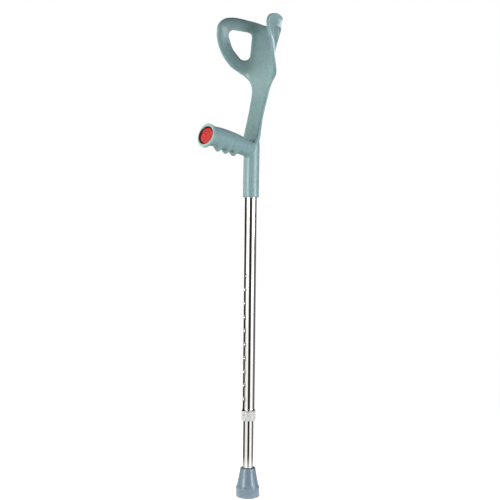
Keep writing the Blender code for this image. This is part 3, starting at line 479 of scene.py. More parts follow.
def moulded_plastic(name, light, dark, roughness, flank_shade=None):
    """Injection-moulded plastic: faint flow marks, fine grain, and scuffs in a few places.

    The last argument, when given, paints shade on a side of the piece: a place, the heights along its Z where
    the face begins, and the darker, bluish colour painted below them as shade.
    """
    finish = Finish(name, light, roughness, Specular_IOR_Level=0.5)
    flow = finish.noise(1.0, 2.0, finish.stretched((16.0, 16.0, 7.0)))
    colour = finish.blend(finish.levels(flow, 0.3, 0.7), light, dark)
    if flank_shade:
        # Painted shade: below the face, the side takes a darker, bluish colour.
        place, starts, shade_colour = flank_shade
        front = finish.part("Z", finish.seen_from(place))
        colour = finish.blend(finish.levels(front, *starts), shade_colour, colour)
    worn = finish.levels(finish.noise(30.0, 2.0), 0.5, 0.7)
    scratches = finish.noise(1.0, 2.0, finish.stretched((260.0, 1100.0, 70.0), (0.3, 0.5, 0.2)))
    scuffs = finish.times(finish.levels(scratches, 0.64, 0.72), worn)
    clouds = finish.levels(finish.noise(40.0, 2.0), 0.3, 0.7, roughness - 0.008, roughness + 0.012)
    gloss = finish.plus(clouds, finish.times(scuffs, 0.08))
    colour = finish.blend(finish.times(scuffs, 0.07), colour, (190, 204, 202))
    fine = finish.bump(finish.noise(1700.0, 2.0), 0.035, 0.05 * MM)
    return finish.paint(colour, gloss, fine)


def polished_aluminium():
    """Drawn and polished tube: fine lines along it, faint rings and a thin grey film."""
    finish = Finish("polished_aluminium", (231, 230, 228), 0.1, Metallic=1.0)
    drawn = finish.noise(1.0, 3.0, finish.stretched((1500.0, 1500.0, 7.0)))
    film = finish.levels(finish.noise(42.0, 4.0), 0.35, 0.7)
    colour = finish.blend(finish.times(film, 0.5), (238, 237, 235), (220, 218, 215))
    rings = finish.noise(1.0, 2.0, finish.stretched((30.0, 30.0, 1400.0)))
    rubbed = finish.times(finish.levels(rings, 0.62, 0.74), 0.07)
    gloss = finish.plus(finish.levels(drawn, 0.3, 0.7, 0.035, 0.09), rubbed)
    return finish.paint(colour, gloss, finish.bump(drawn, 0.05, 0.04 * MM))


def spring_steel():
    """Hardened steel with a faint brown bloom and fine tumbling marks."""
    finish = Finish("spring_steel", (168, 170, 173), 0.28, Metallic=1.0)
    bloom = finish.levels(finish.noise(160.0, 4.0), 0.4, 0.75)
    colour = finish.blend(bloom, (176, 178, 181), (138, 136, 134))
    marks = finish.noise(900.0, 3.0)
    gloss = finish.levels(marks, 0.3, 0.7, 0.2, 0.38)
    return finish.paint(colour, gloss, finish.bump(marks, 0.08, 0.05 * MM))


def white_nylon():
    """Moulded nylon, a little translucent, with faint grey clouds in its colour."""
    finish = Finish("white_nylon", (204, 201, 199), 0.38, Subsurface_Weight=0.18, Subsurface_Scale=1.5 * MM)
    clouds = finish.levels(finish.noise(320.0, 4.0), 0.38, 0.72)
    colour = finish.blend(clouds, (211, 208, 206), (176, 174, 172))
    gloss = finish.levels(finish.noise(500.0, 2.0), 0.3, 0.7, 0.3, 0.46)
    return finish.paint(colour, gloss, finish.bump(finish.noise(1300.0, 2.0), 0.12, 0.06 * MM))


def blue_grey_rubber():
    """Semi-gloss rubber: fine pores, and dust that lies thicker towards the tread."""
    finish = Finish("blue_grey_rubber", (114, 132, 146), 0.4, Specular_IOR_Level=0.7)
    clouds = finish.levels(finish.noise(60.0, 2.0), 0.35, 0.7)
    base = finish.blend(clouds, (113, 131, 145), (108, 126, 140))
    low = finish.levels(finish.part("Z", finish.place), 0.0, 14.0 * MM, 1.0, 0.0)
    dust = finish.times(low, finish.levels(finish.noise(380.0, 4.0), 0.4, 0.7))
    colour = finish.blend(finish.times(dust, 0.5), base, (150, 158, 160))
    sheen = finish.levels(finish.noise(120.0, 2.0), 0.3, 0.7, 0.2, 0.25)
    gloss = finish.plus(sheen, finish.times(dust, 0.2))
    return finish.paint(colour, gloss, finish.bump(finish.noise(1600.0, 3.0), 0.06, 0.05 * MM))


def red_lens():
    """Clear red acrylic over prisms, with painted glints that flash light and dark cell by cell, a painted
    lighter lower part, and a painted dark ring of shade at its border.
    """
    finish = Finish(
        "red_lens", (222, 60, 56), 0.25, Coat_Weight=0.8, Coat_Roughness=0.06, Transmission_Weight=0.12
    )
    local = finish.seen_from(CAP_PLACE)
    reach = finish.length(finish.vector_math("MULTIPLY", local, (1.0, 1.0, 0.0))["Vector"])
    # Painted glints: each prism cell is painted lighter or darker red; the same cells also vary the roughness
    # and bumps.
    cells = finish.node("ShaderNodeTexVoronoi", Vector=finish.place, Scale=820.0).outputs["Color"]
    prism_glints = finish.part("X", cells)
    colour = finish.blend(finish.levels(prism_glints, 0.1, 0.9), (216, 42, 42), (246, 90, 82))
    # Painted light: the lens's lower part is painted a lighter pink.
    low = finish.levels(finish.part("X", local), *LENS_PAINTED_LIGHT, 1.0, 0.0)
    colour = finish.blend(finish.times(low, 0.35), colour, (240, 110, 112))
    # Painted shade: a dark red ring at the border, where the recess wall shades the lens.
    colour = finish.blend(finish.levels(reach, *LENS_SHADE_RING), colour, (88, 26, 34))
    gloss = finish.levels(prism_glints, 0.0, 1.0, 0.16, 0.34)
    return finish.paint(colour, gloss, finish.bump(prism_glints, 0.12, 0.1 * MM))


def grey_backing():
    finish = Finish("grey_backing", (190, 190, 188), 0.4)
    colour = finish.blend(finish.noise(240.0, 3.0), (196, 196, 194), (178, 178, 177))
    return finish.paint(colour, None, finish.bump(finish.noise(1200.0, 2.0), 0.1, 0.05 * MM))


SAGE = moulded_plastic("sage_plastic", (129, 158, 159), (126, 155, 156), 0.27)
GREY = grey_backing()
ALUMINIUM = polished_aluminium()
STEEL = spring_steel()
NYLON = white_nylon()
RUBBER = blue_grey_rubber()


def mesh_object(name, bm, smooth_angle=SMOOTH_ANGLE):
    """An object at the origin from a bmesh whose shells are closed."""
    bmesh.ops.recalc_face_normals(bm, faces=bm.faces)
    mesh = bpy.data.meshes.new(name)
    bm.to_mesh(mesh)
    bm.free()
    shade(mesh, smooth_angle)
    return added(name, mesh)


def added(name, data):
    """A new object in the scene, at the origin."""
    obj = bpy.data.objects.new(name, data)
    bpy.context.scene.collection.objects.link(obj)
    return obj


def shade(mesh, smooth_angle):
    mesh.shade_smooth()
    mesh.set_sharp_from_angle(angle=math.radians(smooth_angle))


def discard(*objects):
    for obj in objects:
        bpy.data.objects.remove(obj, do_unlink=True)


def made_plain(obj, smooth_angle=SMOOTH_ANGLE):
    """Turns an object's modifiers into its own mesh."""
    evaluated = obj.evaluated_get(bpy.context.evaluated_depsgraph_get())
    mesh = bpy.data.meshes.new_from_object(evaluated)
    obj.modifiers.clear()
    obj.data = mesh
    mesh.name = obj.name
    shade(mesh, smooth_angle)
    return obj


def carve(target, *cutters):
    for cutter in cutters:
        modifier = target.modifiers.new(cutter.name, "BOOLEAN")
        modifier.operation = "DIFFERENCE"
        modifier.solver = "EXACT"
        modifier.object = cutter
    made_plain(target)
    discard(*cutters)
    return target


def join_into(target, other):
    """Moves the faces of one bmesh into another."""
    copies = {vert: target.verts.new(vert.co) for vert in other.verts}
    for face in other.faces:
        target.faces.new([copies[vert] for vert in face.verts])
    other.free()


def loft(loops, closed=False):
    """A body through loops of points: capped at both ends, or closed on itself."""
    bm = bmesh.new()
    rows = [[bm.verts.new(point) for point in loop] for loop in loops]
    pairs = list(zip(rows, rows[1:])) + ([(rows[-1], rows[0])] if closed else [])
    for first, second in pairs:
        for i, vert in enumerate(first):
            j = (i + 1) % len(first)
            bm.faces.new((vert, first[j], second[j], second[i]))
    if not closed:
        bm.faces.new(rows[0])
        bm.faces.new(rows[-1])
    return bm


def ring(radius, z, steps):
    angles = [2.0 * math.pi * i / steps for i in range(steps)]
    return [(radius * math.cos(a), radius * math.sin(a), z) for a in angles]


def turned(profile, steps=FINE_STEPS, closed=True):
    """A ring, or a solid with flat ends, turned about Z from (radius, z) points."""
    return loft([ring(radius, z, steps) for radius, z in profile], closed)


def rod(radius, start, end, steps=SMALL_STEPS):
    return turned([(radius, start), (radius, end)], steps, False)


def arc(centre, radius, start, end, steps):
    """Points on an arc in the plane of a profile, between two angles in degrees."""
    angles = np.radians(np.linspace(start, end, steps + 1))
    return [(centre[0] + radius * math.cos(a), centre[1] + radius * math.sin(a)) for a in angles]


def eased(profile, size, most=0.3):
    """A closed profile whose corners are cut back, by no more than a share of their sides."""
    points = [Vector(point) for point in profile]
    out = []
    for before, here, after in zip(points[-1:] + points[:-1], points, points[1:] + points[:1]):
        for other in (before, after):
            along = other - here
            out.append(tuple(here + along * min(size / along.length, most)))
    return out


def wall_section(outer, inner, bottom, top, edge):
    """The section of a plain ring with eased edges."""
    return eased([(outer, top), (outer, bottom), (inner, bottom), (inner, top)], edge)


def dome(radius, top, rise, low, high, steps):
    """Points up a flattened dome, between two angles in degrees."""
    angles = np.radians(np.linspace(low, high, steps))
    return [(radius * math.cos(a), top - rise * (1.0 - math.sin(a))) for a in angles]


def pointing(direction, place):
    """Turns a piece made about Z so that its top looks in a direction, and puts it in place."""
    lean = UP.rotation_difference(direction).to_matrix().to_4x4()
    return Matrix.Translation(place) @ lean


def moved(bm, matrix):
    bmesh.ops.transform(bm, matrix=matrix, verts=bm.verts)
    return bm


def dress(obj, finish, body, *nodes):
    """Gives a finished piece its material, its body and the nodes that it stands for."""
    obj.data.materials.clear()
    obj.data.materials.append(finish)
    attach(obj, body)
    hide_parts(*nodes)
    return obj


# Places in the handle
GRIP_AXIS = Vector((-math.cos(GRIP_TILT), 0.0, math.sin(GRIP_TILT)))
GRIP_END = Vector((-GRIP_LENGTH, 0.0, GRIP_END_HEIGHT))
CAP_PLACE = pointing(GRIP_AXIS, GRIP_END + UPPER_TOP_Z * UP)
HANDLE_PLACE = Matrix.Translation(UPPER_TOP_Z * UP)
SCREW_PLACE = pointing(-FRONT, (0.0, 0.0, UPPER_TOP_Z - SOCKET_DEPTH + SCREW_ABOVE_SOCKET_END))


class Growth(Nodes):
    """A geometry tree for what repeats, with a mesh, a finish and named sizes as its inputs."""

    def __init__(self, name, **kinds):
        super().__init__(bpy.data.node_groups.new(name, "GeometryNodeTree"))
        sockets = self.tree.interface
        for size, kind in {"Geometry": "Geometry", "Finish": "Material", **kinds}.items():
            sockets.new_socket(size, in_out="INPUT", socket_type="NodeSocket" + kind)
        sockets.new_socket("Geometry", in_out="OUTPUT", socket_type="NodeSocketGeometry")
        self.given = self.tree.nodes.new("NodeGroupInput").outputs

    def vector(self, **parts):
        return self.out("ShaderNodeCombineXYZ", **parts)

    def position(self):
        return self.out("GeometryNodeInputPosition")

    def raised(self, geometry, height):
        return self.out("GeometryNodeTransform", Geometry=geometry, Translation=self.vector(Z=height))

    def joined(self, *parts):
        both = self.node("GeometryNodeJoinGeometry")
        for part in parts:
            self.feed(both.inputs[0], part)
        return both.outputs[0]

    def finish(self, geometry):
        real = self.out("GeometryNodeRealizeInstances", geometry)
        painted = self.out("GeometryNodeSetMaterial", Geometry=real, Material=self.given["Finish"])
        self.node("NodeGroupOutput", painted)
        return self

    def grow(self, obj, smooth_angle=SMOOTH_ANGLE, **values):
        """Runs the tree on an object and keeps the result as its plain mesh."""
        modifier = obj.modifiers.new(self.tree.name, "NODES")
        modifier.node_group = self.tree
        for socket in self.tree.interface.items_tree:
            if socket.in_out == "INPUT" and socket.name in values:
                modifier[socket.identifier] = values[socket.name]
        return made_plain(obj, smooth_angle)


def hole_row():
    """Cuts a row of holes with eased rims through the front wall of a tube.

    The drill starts at the tube's axis. A rim is a cone that starts a little under the tube's surface.
    """
    growth = Growth(
        "hole_row", Count="Int", Pitch="Float", Top="Float", Radius="Float", Tube="Float", Edge="Float"
    )
    given = growth.given
    drill = growth.out(
        "GeometryNodeMeshCylinder", Vertices=DRILL_SIDES, Radius=given["Radius"],
        Depth=growth.times(given["Tube"], DRILL_REACH),
    )
    rim_length = growth.times(given["Edge"], RIM_LENGTH)
    rim = growth.out(
        "GeometryNodeMeshCone", Vertices=DRILL_SIDES, Radius_Top=growth.plus(given["Radius"], rim_length),
        Radius_Bottom=given["Radius"], Depth=rim_length,
    )
    surface = growth.times(given["Tube"], 1.0 - DRILL_REACH / 2.0)
    rim = growth.raised(rim, growth.minus(surface, growth.times(given["Edge"], RIM_SUNK)))
    line = growth.out(
        "GeometryNodeMeshLine", Count=given["Count"],
        Start_Location=growth.vector(X=growth.times(given["Tube"], -DRILL_REACH / 2.0), Z=given["Top"]),
        Offset=growth.vector(Z=growth.times(given["Pitch"], -1.0)),
    )
    cut = given["Geometry"]
    for cutter in (drill, rim):
        holes = growth.out(
            "GeometryNodeInstanceOnPoints", Points=line, Instance=cutter,
            Rotation=(0.0, -math.pi / 2.0, 0.0),
        )
        holes = growth.out("GeometryNodeRealizeInstances", holes)
        cut = growth.out("GeometryNodeMeshBoolean", cut, holes, operation="DIFFERENCE", solver="EXACT")
    return growth.finish(cut)


def rib_circle():
    """Stands a small rib at even angles round a turned body."""
    growth = Growth("rib_circle", Rib="Object", Count="Int", Radius="Float")
    given = growth.given
    circle = growth.out("GeometryNodeMeshCircle", Vertices=given["Count"], Radius=given["Radius"])
    outwards = growth.out(
        "FunctionNodeAlignEulerToVector", axis="X", pivot_axis="Z", Vector=growth.position()
    )
    rib = growth.node("GeometryNodeObjectInfo", Object=given["Rib"]).outputs["Geometry"]
    ribs = growth.out("GeometryNodeInstanceOnPoints", Points=circle, Instance=rib, Rotation=outwards)
    return growth.finish(growth.joined(ribs, given["Geometry"]))


def thread_winding():
    """Winds a small rounded ridge round the widened end of the tube."""
    growth = Growth(
        "thread_winding", Turns="Float", Radius="Float", Start="Float", Height="Float", Depth="Float"
    )
    given = growth.given
    spiral = growth.out(
        "GeometryNodeCurveSpiral", Resolution=64, Rotations=given["Turns"], Start_Radius=given["Radius"],
        End_Radius=given["Radius"], Height=given["Height"],
    )
    section = growth.out(
        "GeometryNodeCurvePrimitiveCircle", mode="RADIUS", Resolution=6, Radius=given["Depth"]
    )
    ridge = growth.out(
        "GeometryNodeCurveToMesh", Curve=growth.raised(spiral, given["Start"]), Profile_Curve=section,
        Fill_Caps=True,
    )
    return growth.finish(growth.joined(ridge, given["Geometry"]))


def prism_field():
    """Covers a disc with rows of three-sided prisms."""
    growth = Growth("prism_field", Pitch="Float", Radius="Float", Level="Float", Height="Float")
    given = growth.given
    pitch = given["Pitch"]
    size = growth.times(given["Radius"], 2.0)
    row = growth.times(pitch, math.sqrt(0.75))
    across = growth.math("FLOOR", growth.math("DIVIDE", size, pitch))
    along = growth.math("FLOOR", growth.math("DIVIDE", size, row))
    grid = growth.out(
        "GeometryNodeMeshGrid", Size_X=growth.times(across, pitch), Size_Y=growth.times(along, row),
        Vertices_X=growth.plus(across, 1.0), Vertices_Y=growth.plus(along, 1.0),
    )
    line = growth.math("ROUND", growth.math("DIVIDE", growth.part("Y", growth.position()), row))
    shift = growth.times(growth.math("PINGPONG", line, 1.0), growth.times(pitch, 0.5))
    grid = growth.out("GeometryNodeSetPosition", Geometry=grid, Offset=growth.vector(X=shift))
    reach = growth.length(growth.position())
    outside = growth.math("GREATER_THAN", reach, growth.minus(given["Radius"], pitch))
    grid = growth.out("GeometryNodeDeleteGeometry", Geometry=grid, Selection=outside)
    prism = growth.out(
        "GeometryNodeMeshCone", fill_type="NGON", Vertices=3, Radius_Top=0.0,
        Radius_Bottom=growth.times(pitch, PRISM_REACH), Depth=given["Height"],
    )
    prism = growth.raised(prism, given["Level"])
    prisms = growth.out("GeometryNodeInstanceOnPoints", Points=grid, Instance=prism)
    return growth.finish(growth.joined(prisms, given["Geometry"]))


HOLE_ROW = hole_row()
RIB_CIRCLE = rib_circle()
THREAD_WINDING = thread_winding()
PRISM_FIELD = prism_field()


def drilled(tube, radius, count):
    """Cuts the button's holes from the top one down and gives the tube its finish."""
    return HOLE_ROW.grow(
        tube, Finish=ALUMINIUM, Count=count, Pitch=HOLE_PITCH, Top=BUTTON_Z, Radius=HOLE_DIAMETER / 2.0,
        Tube=radius, Edge=HOLE_EDGE,
    )


def upper_tube():
    """The tube with its row of holes, and a widened, threaded end under a flared lip."""
    outer, inner = UPPER_RADIUS, UPPER_RADIUS - TUBE_WALL
    thread = THREAD_RADIUS - THREAD_DEPTH
    lip = THREAD_RADIUS + FLARE_LIP_WIDTH
    flare_top, flare_end = FLARE_LIP_Z + FLARE_HEIGHT, FLARE_LIP_Z + FLARE_LIP_HEIGHT
    flare = [
        (outer + (lip - outer) * share**2, flare_top + (flare_end - flare_top) * share)
        for share in np.linspace(0.0, 1.0, 7)
    ]
    profile = [(outer - TUBE_EDGE, UPPER_TOP_Z), (outer, UPPER_TOP_Z - TUBE_EDGE)] + flare + [
        (lip, FLARE_LIP_Z + TUBE_EDGE),
        (lip - TUBE_EDGE, FLARE_LIP_Z),
        (thread, FLARE_LIP_Z),
        (thread, UPPER_BOTTOM_Z + TUBE_EDGE),
        (thread - TUBE_EDGE, UPPER_BOTTOM_Z),
        (THREAD_BORE, UPPER_BOTTOM_Z),
        (THREAD_BORE, FLARE_LIP_Z),
        (inner, flare_top),
        (inner, UPPER_TOP_Z),
    ]
    tube = mesh_object("upper_tube_polished", turned(profile, TUBE_STEPS))
    drill = moved(rod(SCREW_RADIUS + TOUCH, inner / 2.0, outer + PAST), SCREW_PLACE)
    carve(tube, mesh_object("screw_drill", drill))
    drilled(tube, outer, HOLE_COUNT)
    margin = THREAD_PITCH / 2.0
    height = THREAD_LENGTH - 2.0 * margin - THREAD_PITCH
    THREAD_WINDING.grow(
        tube, Finish=ALUMINIUM, Turns=height / THREAD_PITCH, Radius=thread, Start=UPPER_BOTTOM_Z + margin,
        Height=height, Depth=THREAD_DEPTH,
    )
    return dress(tube, ALUMINIUM, "handle", "upper_tube")


def lower_tube():
    """The inner tube, with one hole for the button."""
    outer = LOWER_RADIUS
    section = wall_section(outer, outer - TUBE_WALL, LOWER_BOTTOM_Z, LOWER_TOP_Z, TUBE_EDGE)
    tube = mesh_object("lower_tube_polished", turned(section, TUBE_STEPS))
    return dress(drilled(tube, outer, 1), ALUMINIUM, "lower_leg", "lower_tube")


def guide_bush():
    """A bush with one slit, so it is a bent strip rather than a ring."""
    section = wall_section(BUSH_RADIUS, BUSH_BORE, 0.0, BUSH_LENGTH, THIN_EDGE)
    angles = np.linspace(BUSH_SPLIT / 2.0, 2.0 * math.pi - BUSH_SPLIT / 2.0, SMALL_STEPS * 2)
    loops = [[(r * math.cos(a), r * math.sin(a), UPPER_BOTTOM_Z + z) for r, z in section] for a in angles]
    return dress(mesh_object("guide_bush_nylon", loft(loops)), NYLON, "handle", "guide_bush")


def collar_rib():
    """One rounded upright rib, standing out along X."""
    length = THREAD_LENGTH + COLLAR_LIP - COLLAR_ROUND - COLLAR_RIB_SHORTER
    bottom = COLLAR_ROUND + COLLAR_RIB_RAISED
    loops = []
    for share, size in COLLAR_RIB_ENDS:
        out, half = COLLAR_RIB_DEPTH * size, COLLAR_RIB_WIDTH / 2.0 * size
        crown = [
            (out * math.sin(a) - COLLAR_RIB_SUNK, half * math.cos(a)) for a in np.linspace(0.0, math.pi, 7)
        ]
        root = [(-COLLAR_RIB_ROOT, -half), (-COLLAR_RIB_ROOT, half)]
        loops.append([(x, y, COLLAR_Z + bottom + length * share) for x, y in crown + root])
    return mesh_object("collar_rib", loft(loops))


def collar_nut():
    """A turned nut, rounded below, with an inner lip under the tube's end and ribs all round."""
    outer, top = COLLAR_BODY_RADIUS, COLLAR_LIP + THREAD_LENGTH
    thread, bore = THREAD_RADIUS + TOUCH, LOWER_RADIUS + TOUCH
    profile = [
        (outer - COLLAR_EDGE, top),
        (outer - THIN_EDGE, top - THIN_EDGE),
        (outer, top - COLLAR_EDGE),
        (outer, COLLAR_ROUND + COLLAR_SKIRT_RISE),
        (COLLAR_RADIUS - COLLAR_SKIRT_SUNK, COLLAR_ROUND),
    ]
    profile += arc((COLLAR_RADIUS - COLLAR_ROUND, COLLAR_ROUND), COLLAR_ROUND, -8.0, -90.0, 8)
    profile += [
        (bore + COLLAR_BORE_EDGE, 0.0),
        (bore, COLLAR_BORE_EDGE),
        (bore, COLLAR_LIP),
        (thread, COLLAR_LIP),
        (thread, top),
    ]
    collar = mesh_object("collar_nylon", turned([(r, COLLAR_Z + z) for r, z in profile]))
    rib = collar_rib()
    RIB_CIRCLE.grow(collar, 40.0, Finish=NYLON, Rib=rib, Count=COLLAR_RIBS, Radius=outer)
    discard(rib)
    return dress(collar, NYLON, "collar", "collar_nut")


def snap_button():
    """A domed button that stands out of the top hole."""
    profile = [
        (BUTTON_MIDDLE, BUTTON_BACK),
        (BUTTON_RADIUS, BUTTON_BACK),
        (BUTTON_RADIUS, BUTTON_TIP - BUTTON_DOME),
    ]
    profile += dome(BUTTON_RADIUS, BUTTON_TIP, BUTTON_DOME, 10.0, 85.0, 9)
    button = moved(turned(profile, SMALL_STEPS, False), pointing(FRONT, (0.0, 0.0, BUTTON_Z)))
    return dress(mesh_object("snap_button_steel", button), STEEL, "snap_button", "snap_button")


def button_spring():
    """A leaf bent into a V, with a round nose below and eased edges."""
    top, bottom = BUTTON_Z + LEAF_ABOVE_BUTTON, BUTTON_Z - LEAF_LENGTH
    bend = arc((0.0, bottom + LEAF_NOSE), LEAF_NOSE, 180.0, 360.0, 14)
    pad = (-LEAF_REACH, BUTTON_Z - LEAF_ABOVE_BUTTON)
    line = [(-LEAF_REACH, top), pad] + bend + [(LEAF_REACH - LEAF_THICKNESS, top)]
    half, edge, thick = LEAF_WIDTH / 2.0, LEAF_EDGE, LEAF_THICKNESS
    section = [(-half + edge, 0.0), (half - edge, 0.0), (half, edge), (half, thick - edge)]
    section += [(half - edge, thick), (edge - half, thick), (-half, thick - edge), (-half, edge)]
    loops = []
    for i, point in enumerate(line):
        along = (Vector(line[min(i + 1, len(line) - 1)]) - Vector(line[max(i - 1, 0)])).normalized()
        loops.append([(point[0] - along.y * deep, side, point[1] + along.x * deep) for side, deep in section])
    return dress(mesh_object("button_spring_leaf", loft(loops)), STEEL, "lower_leg", "button_spring")


def foot():
    """A flared sleeve with a rounded shoulder, a rolled rim and a ringed tread."""
    bore = LOWER_RADIUS + TOUCH
    rim_inner = FOOT_RIM_RADIUS - FOOT_RIM_WIDTH
    rim_middle = (rim_inner + FOOT_RIM_RADIUS) / 2.0
    edge_in, edge_down = FOOT_MOUTH_EDGE
    profile = [
        (bore, FOOT_FLOOR),
        (bore, FOOT_HEIGHT - FOOT_MOUTH_DEPTH),
        (rim_inner - edge_in, FOOT_HEIGHT - edge_down),
    ]
    profile += arc((rim_middle, FOOT_HEIGHT - FOOT_RIM_ROUND), FOOT_RIM_ROUND, 150.0, 20.0, 5)
    for share in np.linspace(*FOOT_FLANK, 14):
        radius = FOOT_RIM_RADIUS + (FOOT_SHOULDER_RADIUS - FOOT_RIM_RADIUS) * share
        z = FOOT_HEIGHT + (FOOT_SHOULDER_Z - FOOT_HEIGHT) * share
        profile.append((radius - FOOT_SAG * math.sin(math.pi * share), z))
    knee = Vector((FOOT_SHOULDER_RADIUS, FOOT_SHOULDER_Z))
    below = Vector((FOOT_RADIUS, FOOT_SHOULDER_Z - FOOT_SHOULDER_ROUND))
    profile += [tuple(knee.lerp(below, FOOT_KNEE)), tuple(below)]
    profile.append((FOOT_RADIUS, FOOT_SHOULDER_Z - 2.0 * FOOT_SHOULDER_ROUND))
    profile += arc((FOOT_RADIUS - FOOT_EDGE_ROUND, FOOT_EDGE_ROUND), FOOT_EDGE_ROUND, 0.0, -90.0, 9)
    for radius in sorted(TREAD_RADII, reverse=True):
        high, low = radius + TREAD_HALF, radius - TREAD_HALF
        profile += [(high, 0.0), (high - TREAD_DRAFT, TREAD_DEPTH)]
        profile += [(low + TREAD_DRAFT, TREAD_DEPTH), (low, 0.0)]
    piece = mesh_object("ferrule_rubber", turned(profile, FINE_STEPS, False), 50.0)
    return dress(piece, RUBBER, "lower_leg", "ferrule")


def foot_washer():
    """The steel disc under the lower tube's end, inside the foot."""
    bottom = FOOT_FLOOR + TOUCH
    section = wall_section(LOWER_RADIUS, WASHER_HOLE, bottom, bottom + WASHER_THICKNESS, WASHER_EDGE)
    return dress(mesh_object("ferrule_washer_steel", turned(section)), STEEL, "lower_leg", "ferrule_washer")


def catmull_rom(points, per_span):
    """A smooth curve through points, parameterised by the square root of their distances."""
    points = [np.array(p, float) for p in points]
    points = [2 * points[0] - points[1]] + points + [2 * points[-1] - points[-2]]
    out = []
    for k in range(1, len(points) - 2):
        p0, p1, p2, p3 = points[k - 1 : k + 3]
        t0 = 0.0
        t1 = t0 + math.sqrt(np.linalg.norm(p1 - p0))
        t2 = t1 + math.sqrt(np.linalg.norm(p2 - p1))
        t3 = t2 + math.sqrt(np.linalg.norm(p3 - p2))
        for t in np.linspace(t1, t2, per_span, endpoint=False):
            a1 = ((t1 - t) * p0 + (t - t0) * p1) / (t1 - t0)
            a2 = ((t2 - t) * p1 + (t - t1) * p2) / (t2 - t1)
            a3 = ((t3 - t) * p2 + (t - t2) * p3) / (t3 - t2)
            b1 = ((t2 - t) * a1 + (t - t0) * a2) / (t2 - t0)
            b2 = ((t3 - t) * a2 + (t - t1) * a3) / (t3 - t1)
            out.append(((t2 - t) * b1 + (t - t1) * b2) / (t2 - t1))
    out.append(points[-2])
    return np.array(out)


def even_steps(curve, step, closed=False):
    """Resamples a curve at even distances of about one step."""
    if closed:
        curve = np.vstack([curve, curve[:1]])
    lengths = np.concatenate([[0.0], np.cumsum(np.linalg.norm(np.diff(curve, axis=0), axis=1))])
    at = np.linspace(0.0, lengths[-1], max(int(round(lengths[-1] / step)), 8) + 1)
    out = np.column_stack([np.interp(at, lengths, curve[:, i]) for i in range(2)])
    return out[:-1] if closed else out


def rounded_polygon(corners, steps):
    """A closed outline whose corners (x, y, radius) are rounded with arcs."""
    out = []
    for i, (x, y, radius) in enumerate(corners):
        here = Vector((x, y))
        back = (Vector(corners[i - 1][:2]) - here).normalized()
        on = (Vector(corners[(i + 1) % len(corners)][:2]) - here).normalized()
        half = back.angle(on) / 2.0
        centre = here + (back + on).normalized() * radius / math.sin(half)
        start = here + back * radius / math.tan(half) - centre
        end = here + on * radius / math.tan(half) - centre
        sweep = start.angle_signed(end)
        for k in range(steps + 1):
            spoke = start.copy()
            spoke.rotate(Matrix.Rotation(-sweep * k / steps, 2))
            out.append(centre + spoke)
    return np.array([tuple(p) for p in out])


def station_curve(column):
    """A smooth function of height through one column of the stations."""
    stations = np.array(SHEET_STATIONS)
    heights, values = stations[:, 0] * MM, stations[:, column]
    slopes = np.gradient(values, heights)

    def at(z):
        k = int(np.clip(np.searchsorted(heights, z) - 1, 0, len(heights) - 2))
        span = heights[k + 1] - heights[k]
        t = (z - heights[k]) / span
        h00, h10 = 2 * t**3 - 3 * t**2 + 1, t**3 - 2 * t**2 + t
        h01, h11 = -2 * t**3 + 3 * t**2, t**3 - t**2
        return h00 * values[k] + h10 * span * slopes[k] + h01 * values[k + 1] + h11 * span * slopes[k + 1]

    return at


middle_mm = station_curve(1)
wing_degrees = station_curve(2)


def middle_u(z):
    """How far forward of the tube's axis the middle of the sheet's front face lies."""
    return middle_mm(z) * MM


def sheet_thickness(z):
    return float(np.interp(z, *zip(*SHEET_THICKNESS)))


def integral(values, steps):
    return float(((values[1:] + values[:-1]) / 2.0 * np.diff(steps)).sum())


def sheet_point(p, z):
    """The front face of the sheet at a distance p along it from its middle line, at height z."""
    half_bend = (BEND_AT_STEM + (BEND_AT_TOP - BEND_AT_STEM) * smooth_step(z, *BEND_WIDENS)) / 2.0
    steps = np.linspace(0.0, abs(p), BEND_STEPS)
    bent = smooth_step(steps, BEND_MIDDLE - half_bend, BEND_MIDDLE + half_bend)
    angles = math.radians(max(wing_degrees(z), 0.0)) * bent
    v = integral(np.cos(angles), steps)
    u = middle_u(z) + integral(np.sin(angles), steps)
    return np.array((-u, math.copysign(v, p), z))


def sheet_normal(p, z):
    """The direction that the front face looks in."""
    small = 0.5 * MM
    across = sheet_point(p + small, z) - sheet_point(p - small, z)
    up = sheet_point(p, z + small) - sheet_point(p, z - small)
    normal = np.cross(up, across)
    return normal / np.linalg.norm(normal)


def distance_to_loops(points, loops):
    """The distance from each point to the nearest of several closed outlines."""
    best = np.full(len(points), np.inf)
    for loop in loops:
        along = np.roll(loop, -1, axis=0) - loop
        length = (along**2).sum(1)
        for i, point in enumerate(points):
            t = np.clip(((point - loop) * along).sum(1) / length, 0.0, 1.0)
            gap = point - loop - t[:, None] * along
            best[i] = min(best[i], math.sqrt((gap**2).sum(1).min()))
    return best


def inside(points, loop):
    """Which of the points lie within a closed outline."""
    x, y = points[:, :1], points[:, 1:]
    x0, y0 = loop[:, 0], loop[:, 1]
    x1, y1 = np.roll(x0, -1), np.roll(y0, -1)
    crosses = (y0 > y) != (y1 > y)
    with np.errstate(divide="ignore", invalid="ignore"):
        at = x0 + (y - y0) / (y1 - y0) * (x1 - x0)
    return np.count_nonzero(crosses & (x < at), axis=1) % 2 == 1


def inset(loop, depth):
    """The outline moved inwards, for one that runs anticlockwise."""
    along = np.roll(loop, -1, axis=0) - np.roll(loop, 1, axis=0)
    along /= np.linalg.norm(along, axis=1)[:, None]
    return loop + depth * np.column_stack([-along[:, 1], along[:, 0]])


def anticlockwise(loop):
    x, y = loop[:, 0], loop[:, 1]
    area = (x * np.roll(y, -1) - np.roll(x, -1) * y).sum()
    return loop if area > 0.0 else loop[::-1]


def sheet_outline():
    half = even_steps(catmull_rom(SHEET_OUTLINE, 12) * MM, OUTLINE_STEP)
    return anticlockwise(np.vstack([half, half[1:-1][::-1] * np.array((-1.0, 1.0))]))


